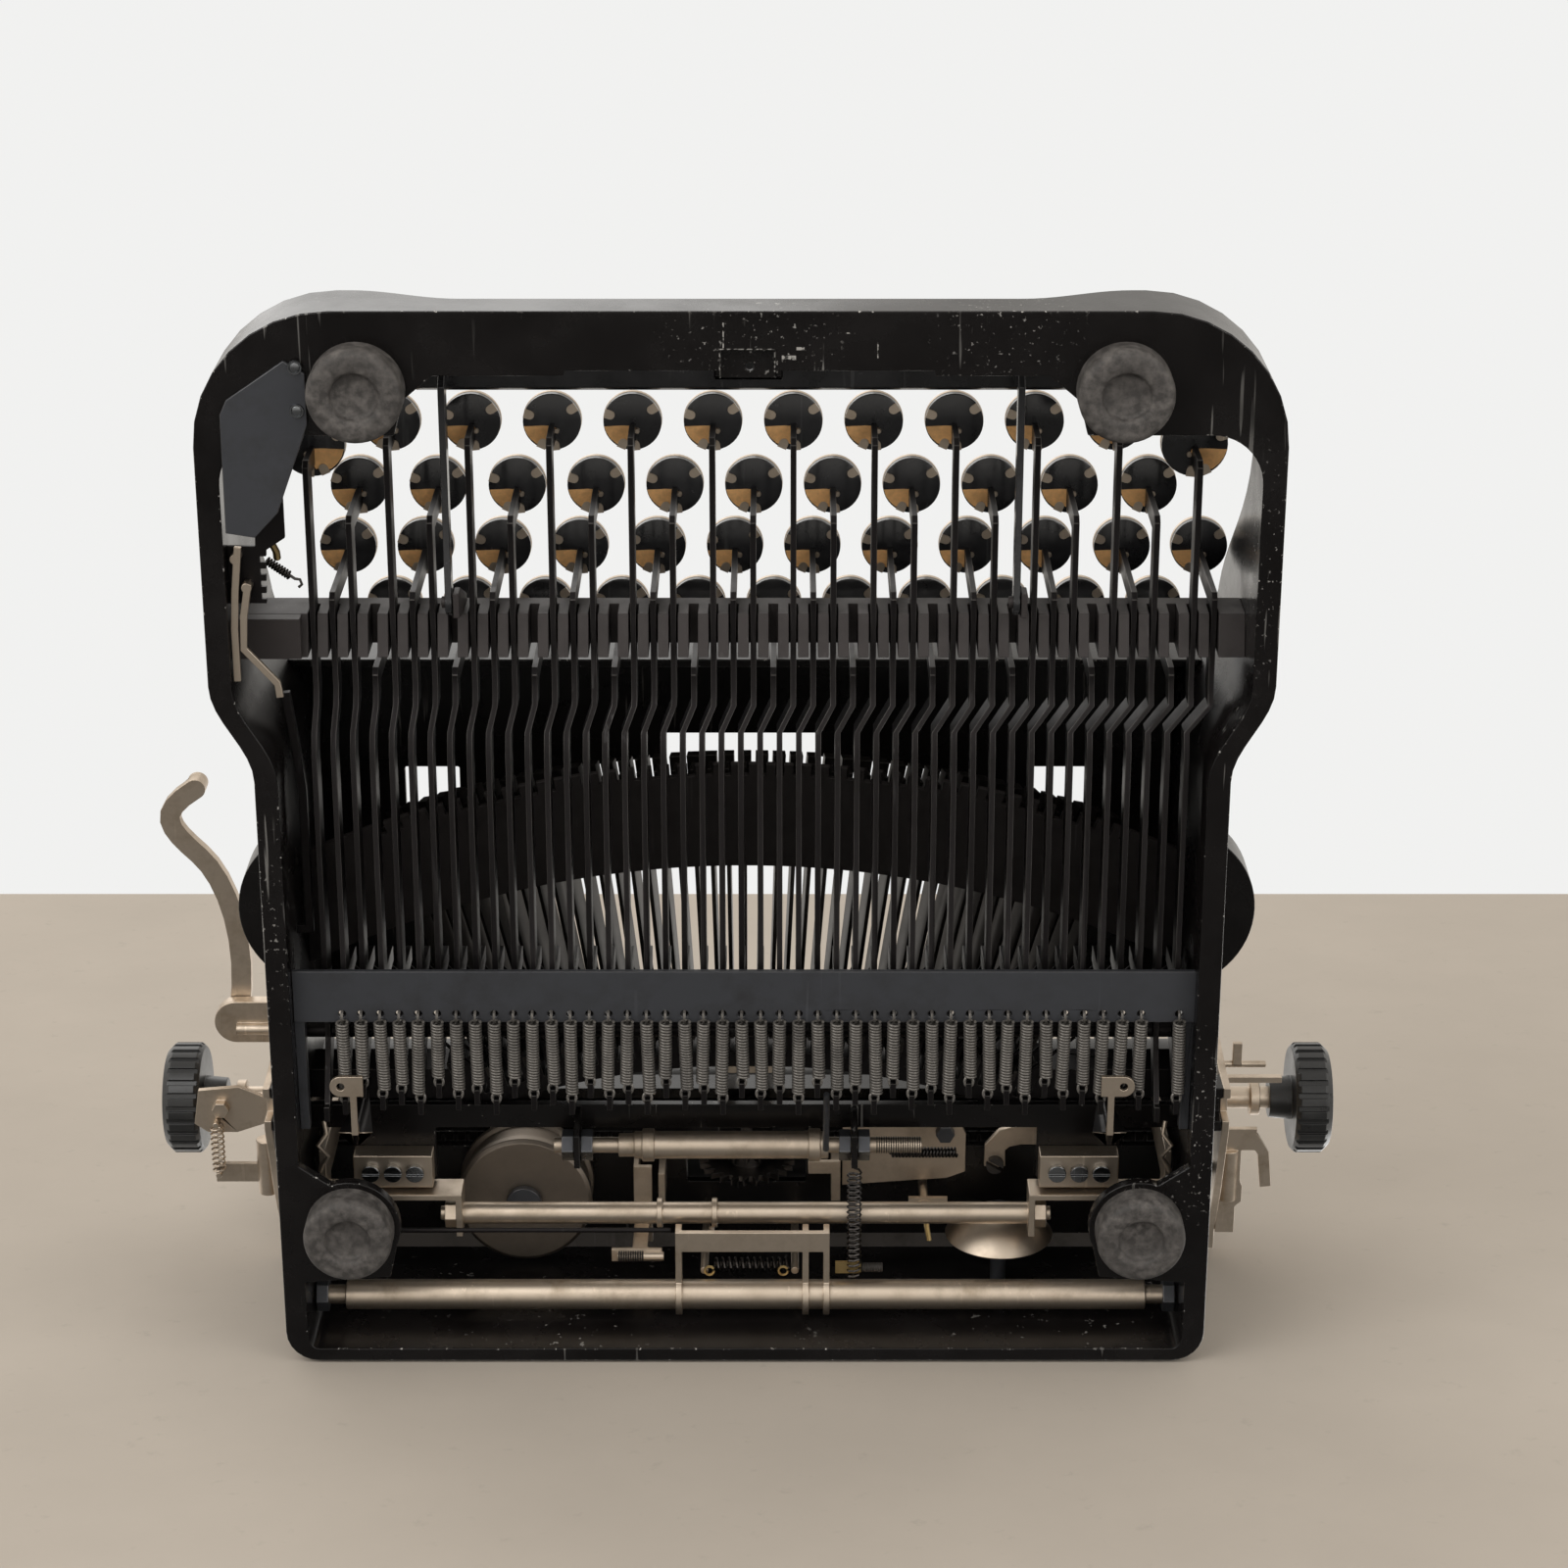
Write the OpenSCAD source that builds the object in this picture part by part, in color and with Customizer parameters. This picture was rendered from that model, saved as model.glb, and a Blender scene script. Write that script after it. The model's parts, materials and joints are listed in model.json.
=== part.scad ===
// Portable four-row typewriter with open underside: casting, key levers on one fulcrum shaft,
// type basket, ribbon spools, shift cradle, carriage and platen.
// Lengths in millimetres. X runs to the typist's right, Y from the front edge to the back, Z up.
// Inside the modules y is the distance behind the front edge and z the height above the casting's
// lower rim; from_front() moves both to the finished frame, which stands on its feet at Z = 0.

/* [Casting] */
// Width of the casting across the keyboard
frame_front_w = 250; // [248:1:256]
// Width of the casting behind the waist
frame_rear_w = 231; // [230:1:238]
// Depth of the casting from the front edge to the back wall
frame_depth = 271; // [270:1:280]
// Radius of the two front corners
front_corner_r = 32; // [26:1:36]
// Radius of the two back corners
rear_corner_r = 8; // [6:1:12]
// Distance behind the front edge where the sides begin to draw in
waist_y = 90; // [88:1:94]
// Length of the drawn-in stretch
waist_len = 24; // [20:1:28]
// Thickness of the front and side walls
wall_t = 5.5; // [5:0.5:6]
// Thickness of the back wall
rear_wall_t = 3.5; // [3:0.5:4]
// Thickness of the flange that carries the feet
flange_t = 3; // [2:0.5:4]
// Width of the front flange
front_flange_w = 15; // [12:1:17]
// Height of the front rail in its middle
front_rail_h = 12; // [9:1:16]
// Height of the front corners
corner_h = 20; // [18:1:24]
// Height of the deck that carries the spool cups
deck_h = 76; // [74:1:80]
// Height of the low back end under the carriage
rear_wall_h = 53; // [52.5:0.5:55]

/* [Feet] */
// Height of a rubber foot
foot_h = 8; // [6:1:12]
// Radius of a rubber foot
foot_r = 11; // [9:0.5:11]
// Distance of the front feet from the side of the casting
front_foot_side = 38; // [37:1:41]
// Distance of the front feet behind the front edge
front_foot_y = 18; // [17:1:20]
// Distance of the rear feet from the side of the casting
rear_foot_side = 17.5; // [17.5:0.5:19.5]
// Distance of the rear feet in front of the back edge
rear_foot_inset = 38; // [36:1:40]

/* [Keyboard] */
// Spacing of the keys along a row
key_pitch = 19.05; // [18.8:0.05:19.1]
// Place of the middle lever slot, to the right of the middle plane
keyboard_x = 2.5; // [2:0.25:3]
// Diameter of a key top
key_d = 14; // [12:0.5:14]
// Diameter of a shift key top
shift_key_d = 16; // [14:0.5:16.5]
// Distance of the front key row behind the front edge
first_row_y = 35; // [35:0.5:36]
// Distance between key rows
row_step_y = 19; // [18.5:0.1:19]
// Height of the underside of the front key row
first_row_h = 32; // [31:1:34]
// Rise from one key row to the next
row_rise = 11; // [10:0.5:12]
// Thickness of a key lever
lever_t = 1.4; // [1:0.1:1.6]
// Depth of a key lever
lever_depth = 6; // [5:0.5:6.5]
// Sideways shift of the levers behind the comb
lever_jog = 3; // [2.5:0.5:3]
// Distance of the fulcrum shaft in front of the back edge
fulcrum_inset = 85; // [84:0.5:86]
// Height of the fulcrum shaft
fulcrum_h = 16; // [15.5:0.5:16.5]
// Radius of the fulcrum shaft
fulcrum_r = 2; // [1.6:0.1:2.2]
// Running clearance of pins and shafts, on the radius
run_clear = 0.06; // [0.04:0.01:0.1]
// Length of the space bar
space_bar_w = 153; // [146:1:156]

/* [Type basket] */
// Angle between neighbouring typebars
typebar_step = 0.95; // [0.93:0.005:0.96]
// Radius of the pivot wire in plan
pivot_r = 196; // [190:1:200]
// Height of the pivot wire
pivot_h = 37; // [36.5:0.5:38]
// Length of a typebar from pivot to head
typebar_len = 67; // [65:0.5:68]
// Thickness of a typebar
typebar_t = 1; // [0.8:0.1:1.1]

/* [Carriage] */
// Gap between an end plate and the hub of its knob
hub_gap = 15; // [13:0.5:17]
// Radius of the platen
platen_r = 16; // [15:0.25:16.5]
// Distance of the platen axis in front of the back edge
platen_inset = 28; // [26:0.5:28]
// Height of the platen axis
platen_h = 92; // [91:0.5:94]
// Radius of the platen shaft
platen_shaft_r = 3; // [2.5:0.25:3.5]
// Radius of a platen knob
knob_r = 15; // [12:0.5:17]
// Length of a platen knob
knob_len = 10; // [8:0.5:12]
// Distance between the outer ends of the knobs
knob_span = 316; // [312:1:322]
// Number of ribs round a knob
knob_ribs = 26; // [20:1:32]
// Radius of a ribbon spool cup
cup_r = 23.5; // [22:0.5:23.5]
// Distance of the spool cups from the side of the casting
cup_side = 5.5; // [4.5:0.5:7.5]

/* [Hidden] */
$fn = 48;

// Lever slots at a quarter of the key pitch, rows interleaved from the left
slot_pitch = key_pitch / 4;
row_first_slot = [3, 1, 0, 2];
row_count = [10, 11, 12, 11];
rows = len(row_count);
typebar_count = row_count[0] + row_count[1] + row_count[2] + row_count[3];
left_shift_slot = -1;
right_shift_slot = 43;
centre_row = 1;
centre_slot = 21;
last_slot = row_first_slot[2] + 4 * (row_count[2] - 1);
rear_spread = 0.975;
side_room = [12.5, 9];

// The casting is never narrower than its levers need
front_half = max(frame_front_w / 2, slot_x(last_slot) + side_room[0]);
rear_half = max(frame_rear_w / 2, rear_x(last_slot) + side_room[1]);
inner_front = front_half - wall_t;
inner_rear = rear_half - wall_t;
front_foot_x = front_half - front_foot_side;
rear_foot_x = rear_half - rear_foot_side;
rear_foot_y = frame_depth - rear_foot_inset;
fulcrum_y = frame_depth - fulcrum_inset;
platen_y = frame_depth - platen_inset;
clear = 0.3;

// Casting: flange, pads, rise of the side walls, dip of the front rail and notch in its middle
rise_y = [34, 100];
flange_step_x = 70;
pad_y = 29;
pad_fillet = 12;
rail_dip_half = 90;
rail_dip_len = 26;
notch_x = [-4.6, 8];
notch_y = 9;
notch_hole = [2, 13.6];
notch_hole_r = 0.9;
lip_x = [-40, 44];
lip_deep = 1.2;
gusset_t = 1.2;
foot_places = [
    [-front_foot_x, front_foot_y], [front_foot_x, front_foot_y],
    [-rear_foot_x, rear_foot_y], [rear_foot_x, rear_foot_y]
];
foot_screw_r = 2.2;
foot_recess_r = 5.5;
foot_recess = foot_h / 2;

// Levers and keys
key_t = 4.6;
shift_key_y = 40.5;
post_w = 4.5;
post_back = 2.6;
lever_front_h = 19;
lever_rear_h = 12.5;
lever_drop_y = 97;
lever_jog_y = 101;
lever_jog_len = 6;
arm_y = fulcrum_y - 14;
arm_w = 5;
arm_h = 32;
tail_len = 17;
tail_step = [2.7, 4.5, 0, 1.2];
tail_h = 2.6;
eye_r = fulcrum_r + 2.4;

// Comb behind the third key row, with pivots for the space bar in front of it
comb_y = 78.3;
comb_len = 10;
comb_h = 16;
comb_top = lever_front_h + lever_depth + 6;
comb_slot_w = lever_t + 0.8;
arm_slots = [6, 34];
arm_t = 1.6;
space_half = max(space_bar_w / 2, arm_t - slot_x(arm_slots[0]), arm_t + slot_x(arm_slots[1]));
space_y = 14.2;
space_len = 11.3;
space_h = 25;
space_t = 6;
space_pivot_y = 73;
space_pivot_h = 12;
space_pin_r = 1.4;
lug_t = 1.4;
lug_gap = 0.3;

// Spring plate and key springs
spring_plate_y = fulcrum_y - 20.6;
spring_plate_len = 13.6;
spring_plate_h = 5;
spring_plate_t = 1.5;
spring_hole_y = spring_plate_y + 11.3;
spring_hole_r = 0.9;
spring_r = 1.6;
spring_wire_r = 0.4;
spring_axis_h = spring_plate_h - 1.4;
spring_start_y = spring_plate_y + spring_plate_len + 1.5;

// Type basket: every bar lies on a radius round one upright axis, its blade rolled towards the printing point
pivot_y = frame_depth - 76;
basket_y = pivot_y + pivot_r;
bar_roll = 1.8;
blade_start = 10;
centre_bar = 21;
segment_in = 8;
segment_out = 7;
segment_h = 12;
segment_drop = 7;
segment_spine = 4;
segment_arm_y = frame_depth - 67;
segment_arm_len = 8;
bar_slot = typebar_t + 0.4;
wire_r = 0.9;
bar_rise = 11;
heel_drop = 11;
heel_front = 4.4;
slug_w = 3.2;
slug_len = 9;
slug_h = 3.5;
link_r = 0.45;
rest_r = pivot_r + 43.6;
rest_w = 27.3;
rest_h = pivot_h + 1;
rest_t = 2;

// Deck, spool cups and spools
deck_t = 2;
deck_front_y = 103;
deck_end_y = frame_depth - 65;
skirt_h = pivot_h + bar_rise + slug_h + 4;
basket_open_r = pivot_r + 59.5;
basket_open_half = 80;
bay_x = [-21.5, 19];
bay_y = pivot_y - 65.3;
end_bay_x = [74, 88];
end_bay_y = pivot_y - 56;
end_bay_len = 16;
cup_x = rear_half - cup_side;
cup_y = frame_depth - 91;
cup_h = 14;
cup_t = 1.2;
spool_pin_r = 2;
spool_r = cup_r - 3;
spool_core_r = 7;
spool_h = 12;
spool_flange_t = 0.9;

// Shelf, bed plate and what hangs from them
shelf_y = frame_depth - 35;
shelf_len = 26;
shelf_t = 2.5;
shelf_h = rear_wall_h - 0.5 - shelf_t;
bed_y = frame_depth - 58.5;
bed_len = 6.5;
bed_h = 27;
bed_t = 2.5;
universal_y = frame_depth - 49.7;
universal_h = 22;
universal_rod_r = 2;
universal_r = 3.5;
bracket_x = [-42.4, 27.6];
bracket_t = 1.6;
block_x = [20.7 - inner_rear, inner_rear - 25.4];
block_w = 20;
block_y = frame_depth - 47;
block_len = 9;
block_h = 6;
block_screw_step = 5.6;
screw_r = 2.3;
rear_tube_y = frame_depth - rear_wall_t - 6;
rear_tube_h = 17;
rear_tube_r = 3.8;
rear_rod_r = 2.4;
rear_tube_half = inner_rear - 8;
drum_x = -57.5;
drum_y = frame_depth - 25.7;
drum_r = 17.5;
drum_h = 37;
drum_len = 12.5;
drum_pin_r = 3;
bell_x = 65.5;
bell_y = frame_depth - 18;
bell_r = 14;
bell_t = 1.2;
bell_h = 34;
bell_len = 7;
bell_pin_r = 2;
bell_head_t = 1;
nut_r = 4.6;
nut_t = 3;

// Shift cradle: rail, bail with cross tube, and the escapement
rail_y = frame_depth - 45;
rail_w = 6;
rail_h = 56;
rail_t = 6;
rail_half = inner_rear - 1.5;
cradle_arm_t = 1.6;
cradle_arm_x = inner_rear - 4;
bail_y = frame_depth - 36.9;
bail_h = 19;
bail_depth = 9;
bail_tube_y = frame_depth - 29.5;
bail_tube_h = 23.5;
bail_tube_r = 2.8;
bail_tube_half = inner_rear - 38;
bail_rod_r = 1.8;
bail_rod_out = 5;
bail_collars = [-22.6, -8.6];
bail_collar_r = 3.8;
bail_collar_w = 1.4;
pinion_teeth = 12;
tooth_module = 1;
pinion_r = pinion_teeth * tooth_module / 2;
pinion_y = frame_depth - 34.6;
pinion_len = 2.8;
wheel_r = 12.5;
wheel_teeth = 24;
wheel_y = frame_depth - 30;
wheel_t = 1.5;
axle_r = 1.5;
pinion_axis_h = 52;
escapement_len = 17;

// Carriage: channel over the rail, end plates, platen and feed rollers
plate_t = 2;
knob_hub_r = 6;
knob_hub_len = 6;
channel_half = knob_span / 2 - knob_len - knob_hub_len - hub_gap - plate_t;
carriage_w = 2 * channel_half;
channel_wall = 3;
channel_y = rail_y - clear - channel_wall;
channel_w = rail_w + 2 * clear + 2 * channel_wall;
channel_bottom = rail_h + 0.5;
channel_top = rail_h + rail_t + clear + 2.7;
rack_len = carriage_w - 26;
feed_r = 5;
feed_rod_r = 1.5;
feed_angle = 35;
feed_dist = platen_r + feed_r + clear;
feed_h = platen_h - feed_dist * cos(feed_angle);
roller_half = channel_half - 7;
ratchet_r = platen_r - 4;
ratchet_teeth = 32;
ratchet_t = 2.5;
shaft_half = knob_span / 2 - 2;
margin_y = platen_y + 33;
margin_w = 5;
margin_h = 76;
margin_t = 10;
table_t = 1.2;
table_half = channel_half - 8;
table_low = [platen_y + 20, platen_h - 15];
table_rise = 50;
table_lean = [15, 6];
return_pivot_x = -channel_half - 13;
return_pivot_y = platen_y - 24;
return_h = deck_h + cup_h - 1;
return_pin_r = 2;
return_hub_r = 5;
bracket_block_t = 4;
return_t = 3;

// Trip bail on the rear tube
trip_x = [-17, 15.3, 20.6];
trip_t = 1.6;
trip_reach = 19;
trip_plate_w = 5.5;

// Small coil springs of the escapement and line spacing
coil_r = 1.7;
coil_wire_r = 0.3;
coil_pitch = 1.5;
coil_sides = 6;
coil_rings = 8;
coil_h = 18;
coil_x = bracket_x[1];
coil_start_y = universal_y + 4.5 + clear;
coil_end_y = rear_tube_y - rear_tube_r - clear;

// Plates and pins that hang from the shelf round the escapement
pin_x = [-10.6, 12.6];
pin_y = frame_depth - 14;
pin_r = 1;
pin_h = 21;
mount_h = 43;
mount_t = 1.5;
mount_bolt = [51.5, frame_depth - 43];
mount_bolt_r = 2.5;

// Line-space work at the left end of the carriage, release work at the right end
trim_h = 74;
trim_t = 1.6;
trim_x = channel_half + plate_t;

// Curved section of the paper table, which is the rearmost piece
table_path = [for (i = [0:10]) let (t = i / 10)
    table_low + [table_lean[0] * t + table_lean[1] * t * t, (table_rise - 6) * t + 6 * sin(90 * t)]];
table_section = strip(table_path, table_t);
machine_rear = max(frame_depth, max([for (p = table_section) p.x]));

function feed_y(side) = platen_y + side * feed_dist * sin(feed_angle);

// Moves a piece from rim-and-front-edge measures to the finished frame
module from_front() {
    translate([0, -machine_rear / 2, foot_h]) children();
}

// Extrudes a (y, z) outline along X, centred on x
module along_x(x, t) {
    translate([x - t / 2, 0, 0]) rotate([90, 0, 90]) linear_extrude(t) children();
}

// Cylinder along X from x1 to x2 at (y, z)
module rod_x(x1, x2, y, z, r) {
    translate([x1, y, z]) rotate([0, 90, 0]) cylinder(r = r, h = x2 - x1);
}

// Cylinder along Y from y1 to y2 at (x, z)
module rod_y(y1, y2, x, z, r) {
    translate([x, y1, z]) rotate([-90, 0, 0]) cylinder(r = r, h = y2 - y1);
}

// Slender rod between two points
module rod_between(a, b, r) {
    d = b - a;
    translate(a)
        rotate([0, acos(d.z / norm(d)), atan2(d.y, d.x)])
            cylinder(r = r, h = norm(d), $fn = 16);
}

// Hexagonal nut with a bore, along Z
module hex_nut(r, t, bore) {
    difference() {
        cylinder(r = r, h = t, $fn = 6);
        translate([0, 0, -1]) cylinder(r = bore, h = t + 2);
    }
}

// Slotted screw head with shank, head downwards, top of the head at z = 0
module slotted_screw(head_r, head_t, shank_r, shank_len) {
    difference() {
        translate([0, 0, -head_t]) cylinder(r = head_r, h = head_t);
        translate([-head_r - 1, -head_r * 0.13, -head_t - 1]) cube([2 * head_r + 2, head_r * 0.26, 1.6]);
    }
    cylinder(r = shank_r, h = shank_len);
}

// Half width of the casting at distance y behind the front edge
function waist_blend(t) = t <= 0 ? 1 : t >= 1 ? 0 : (1 + cos(180 * t)) / 2;
function side_half(y) = rear_half + (front_half - rear_half) * waist_blend((y - waist_y) / waist_len);

// Right side of the casting's outline, drawn in by side and rear insets
function right_side(inset, rear_inset) = concat(
    [for (a = [-90:11.25:0])
        [front_half - front_corner_r + (front_corner_r - inset) * cos(a),
         front_corner_r + (front_corner_r - inset) * sin(a)]],
    [for (i = [0:8]) let (y = waist_y + waist_len * i / 8) [side_half(y) - inset, y]],
    [for (a = [0:15:90])
        [rear_half - rear_corner_r + (rear_corner_r - inset) * cos(a),
         frame_depth - rear_corner_r + (rear_corner_r - rear_inset) * sin(a)]]
);

module outline(inset, rear_inset) {
    right = right_side(inset, rear_inset);
    polygon(concat(right, [for (i = [len(right) - 1:-1:0]) [-right[i].x, right[i].y]]));
}

// Strip of constant thickness along a path in the plane
function strip_normal(path, i) =
    let (a = path[max(i - 1, 0)], b = path[min(i + 1, len(path) - 1)], d = b - a)
    [-d.y, d.x] / norm(d);
function strip(path, t) = concat(
    [for (i = [0:len(path) - 1]) path[i] + strip_normal(path, i) * t / 2],
    [for (i = [len(path) - 1:-1:0]) path[i] - strip_normal(path, i) * t / 2]
);

// Height of the side wall: low corners, a swept rise beside the keys, a level deck, a low back end
function wall_top(y) =
    let (t = (y - rise_y[0]) / (rise_y[1] - rise_y[0]))
    corner_h + (deck_h - corner_h) * (1 - waist_blend(t));

module side_profile() {
    back = frame_depth + 1;
    along_x(0, 2 * front_half + 2)
        polygon(concat(
            [[-1, 0], [-1, corner_h]],
            [for (i = [0:12]) let (y = rise_y[0] + (rise_y[1] - rise_y[0]) * i / 12) [y, wall_top(y)]],
            [[deck_end_y, deck_h], [deck_end_y + 4, rear_wall_h], [back, rear_wall_h], [back, 0]]
        ));
}

// Front flange with its corner pads, one side
module front_pad() {
    polygon([
        [0, 0], [0, front_flange_w], [flange_step_x, front_flange_w], [flange_step_x + 7, front_flange_w + 6],
        [flange_step_x + 9, pad_y], [front_half, pad_y], [front_half, 0]
    ]);
    difference() {
        translate([inner_front - pad_fillet, pad_y]) square([pad_fillet + wall_t, pad_fillet]);
        translate([inner_front - pad_fillet, pad_y + pad_fillet]) circle(r = pad_fillet);
    }
}

// Pad that reaches in from the side wall to a rear foot
module rear_pad() {
    reach = foot_r + 1.5;
    translate([rear_foot_x, rear_foot_y]) circle(r = reach);
    polygon([
        [rear_half - 1, rear_foot_y - 20], [rear_foot_x - reach, rear_foot_y],
        [rear_foot_x - reach + 3, rear_foot_y + 14], [rear_half - 1, rear_foot_y + 16]
    ]);
}

// Swept dip between the two front corners
module rail_dip() {
    steps = 10;
    edge = [for (i = [0:steps]) let (t = i / steps)
        [rail_dip_half - rail_dip_len * (1 - t),
         front_rail_h + (corner_h + 0.01 - front_rail_h) * (1 - waist_blend(t))]];
    translate([0, front_corner_r - 8, 0]) rotate([90, 0, 0]) linear_extrude(front_corner_r)
        polygon(concat(
            [for (i = [steps:-1:0]) [-edge[i].x, edge[i].y]],
            edge,
            [[rail_dip_half, deck_h], [-rail_dip_half, deck_h]]
        ));
}

module base_frame() {
    plate_edge = 1.5;
    notch_w = notch_x[1] - notch_x[0];
    from_front() color("#15151a") difference() {
        union() {
            linear_extrude(flange_t) intersection() {
                outline(0, 0);
                union() {
                    front_pad();
                    mirror([1, 0]) front_pad();
                    rear_pad();
                    mirror([1, 0]) rear_pad();
                }
            }
            intersection() {
                linear_extrude(deck_h) difference() {
                    outline(0, 0);
                    outline(wall_t, rear_wall_t);
                }
                side_profile();
            }
            translate([notch_x[0] - plate_edge, notch_y - plate_edge, flange_t])
                cube([notch_w + 2 * plate_edge, front_flange_w - notch_y + 2 * plate_edge, gusset_t]);
        }
        rail_dip();
        translate([notch_x[0], notch_y, -1]) cube([notch_w, front_flange_w, flange_t + 1]);
        for (k = [0, 1])
            translate([min(lip_x[k], notch_x[k]), front_flange_w - lip_deep, -1])
                cube([abs(lip_x[k] - notch_x[k]), 2 * lip_deep, flange_t + 2]);
        translate([notch_hole.x, notch_hole.y, 0]) cylinder(r = notch_hole_r, h = flange_t + gusset_t + 1);
        for (p = foot_places)
            translate([p.x, p.y, -1]) cylinder(r = foot_screw_r + run_clear, h = flange_t + 2);
    }
}

module feet() {
    from_front() color("#5b5b59") for (p = foot_places)
        translate([p.x, p.y, -foot_h]) rotate_extrude()
            polygon([
                [foot_screw_r + run_clear, foot_recess], [foot_recess_r, foot_recess], [foot_recess_r, 0.6],
                [foot_recess_r + 0.6, 0], [foot_r - 1.6, 0], [foot_r - 0.4, 0.8], [foot_r, 2],
                [foot_r, foot_h], [foot_screw_r + run_clear, foot_h]
            ]);
}

module front_gusset_plate() {
    x = -front_half;
    from_front() color("#2a3038") translate([0, 0, -gusset_t]) linear_extrude(gusset_t)
        polygon([
            [x + 21.7, 11.2], [x + 26.5, 14.2], [x + 26.5, 26.1], [x + 18.7, 47.1],
            [x + 13.2, 53], [x + 6.5, 51.9], [x + 6.7, 23.8], [x + 8.3, 20.4]
        ]);
}

module top_deck() {
    from_front() color("#131318") {
        translate([0, 0, deck_h - deck_t]) linear_extrude(deck_t) difference() {
            intersection() {
                outline(wall_t, rear_wall_t);
                translate([-front_half, deck_front_y]) square([2 * front_half, deck_end_y - deck_front_y]);
            }
            intersection() {
                translate([0, basket_y]) circle(r = basket_open_r, $fn = 180);
                translate([-basket_open_half, 0]) square([2 * basket_open_half, frame_depth]);
            }
            translate([bay_x[0], bay_y]) square([bay_x[1] - bay_x[0], pivot_y - bay_y]);
            for (m = [0, 1]) mirror([m, 0])
                translate([end_bay_x[0], end_bay_y]) square([end_bay_x[1] - end_bay_x[0], end_bay_len]);
        }
        translate([0, 0, skirt_h]) linear_extrude(deck_h - deck_t - skirt_h) intersection() {
            outline(wall_t, rear_wall_t);
            translate([-front_half, deck_front_y]) square([2 * front_half, deck_t]);
        }
    }
}

// Places of the levers, keys and typebars
function slot_x(s) = keyboard_x + (s - centre_slot) * slot_pitch;
function rear_x(s) = slot_x(s) * rear_spread - lever_jog;
function row_y(r) = first_row_y + r * row_step_y;
function row_h(r) = first_row_h + r * row_rise;
function row_slots(r) = [for (k = [0:row_count[r] - 1]) row_first_slot[r] + 4 * k];
function bar_of(s) = min(s, typebar_count - 1);
function bar_angle(i) = (i - centre_bar) * typebar_step;
function tail_y(r) = fulcrum_y + tail_len - tail_step[r];

module key_comb() {
    end_w = slot_x(left_shift_slot) - comb_slot_w / 2 + inner_front - 1;
    from_front() color("#1b1b20") {
        difference() {
            along_x(0, 2 * inner_front)
                polygon([
                    [comb_y, comb_h + 3], [comb_y + comb_len, comb_h],
                    [comb_y + comb_len, comb_top - 2], [comb_y, comb_top]
                ]);
            for (s = [left_shift_slot:last_slot])
                translate([slot_x(s) - comb_slot_w / 2, comb_y - 1, 0])
                    cube([comb_slot_w, comb_len + 2, lever_front_h + lever_depth + 1.5]);
        }
        for (s = arm_slots) {
            lug_x = slot_x(s) + arm_t / 2 + lug_gap + lug_t / 2;
            along_x(lug_x, lug_t) polygon([
                [comb_y, comb_top - 1], [comb_y - 1.5, comb_top - 1],
                [space_pivot_y - 3, space_pivot_h + 2], [space_pivot_y - 3, space_pivot_h - 3],
                [space_pivot_y + 3, space_pivot_h - 3], [comb_y, comb_h + 3]
            ]);
            rod_x(slot_x(s) - arm_t / 2 - 1, lug_x, space_pivot_y, space_pivot_h, space_pin_r);
        }
        translate([-inner_front, comb_y - 1, comb_h - 4]) cube([end_w, comb_len, 4]);
    }
}

module spring_plate() {
    bar_w = inner_rear - rear_x(last_slot) - lever_t / 2 - 0.6;
    from_front() color("#343b44") {
        difference() {
            translate([-inner_rear, spring_plate_y, spring_plate_h])
                cube([2 * inner_rear, spring_plate_len, spring_plate_t]);
            for (r = [0:rows - 1], s = row_slots(r))
                translate([rear_x(s), spring_hole_y, spring_plate_h - 1])
                    cylinder(r = spring_hole_r, h = spring_plate_t + 2);
        }
        for (m = [0, 1]) mirror([m, 0, 0])
            translate([inner_rear - bar_w, spring_plate_y + spring_plate_len - 5, spring_plate_h + spring_plate_t])
                cube([bar_w, 35, 3]);
    }
}

module fulcrum_shaft() {
    from_front() color("#77777a") rod_x(-inner_rear, inner_rear, fulcrum_y, fulcrum_h, fulcrum_r);
}

module key_springs() {
    hook_y = spring_hole_y + spring_hole_r - spring_wire_r - clear;
    from_front() color("#55585c") for (r = [0:rows - 1], s = row_slots(r)) {
        x = rear_x(s);
        spring_end = tail_y(r) - 6;
        rod_y(spring_start_y, spring_end, x, spring_axis_h, spring_r);
        rod_y(spring_end, tail_y(r) - 4 - clear, x, spring_axis_h - 0.5, spring_wire_r);
        rod_y(hook_y, spring_start_y, x, spring_axis_h, spring_wire_r);
        translate([x, hook_y, spring_axis_h]) cylinder(r = spring_wire_r, h = spring_plate_t + 1);
    }
}

// Side view of a key lever: post under the key, dropped arm, eye, link arm and spring tail
module lever_profile(ky, kh, ty, link_arm) {
    py = ky + post_back;
    front_top = lever_front_h + lever_depth;
    rear_top = lever_rear_h + lever_depth;
    arm_points = link_arm
        ? [[arm_y - arm_w / 2, rear_top], [arm_y - arm_w / 2 + 1, arm_h],
           [arm_y + arm_w / 2, arm_h], [arm_y + arm_w / 2, rear_top]]
        : [];
    polygon(concat(
        [[py - post_w / 2, lever_front_h + 1.5], [py - post_w / 2, kh], [py + post_w / 2, kh],
         [py + post_w / 2, front_top], [lever_drop_y, front_top], [lever_drop_y + 15, rear_top]],
        arm_points,
        [[fulcrum_y, fulcrum_h + eye_r], [fulcrum_y + 3, fulcrum_h + 2], [ty - 1, tail_h + 4],
         [ty, tail_h + 3.4], [ty, tail_h], [ty - 4, tail_h], [ty - 4, tail_h + 2], [fulcrum_y, fulcrum_h - eye_r],
         [lever_drop_y + 15, lever_rear_h], [lever_drop_y, lever_front_h], [py - post_w / 2 + 1.5, lever_front_h]]
    ));
    translate([fulcrum_y, fulcrum_h]) circle(r = eye_r);
}

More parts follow.
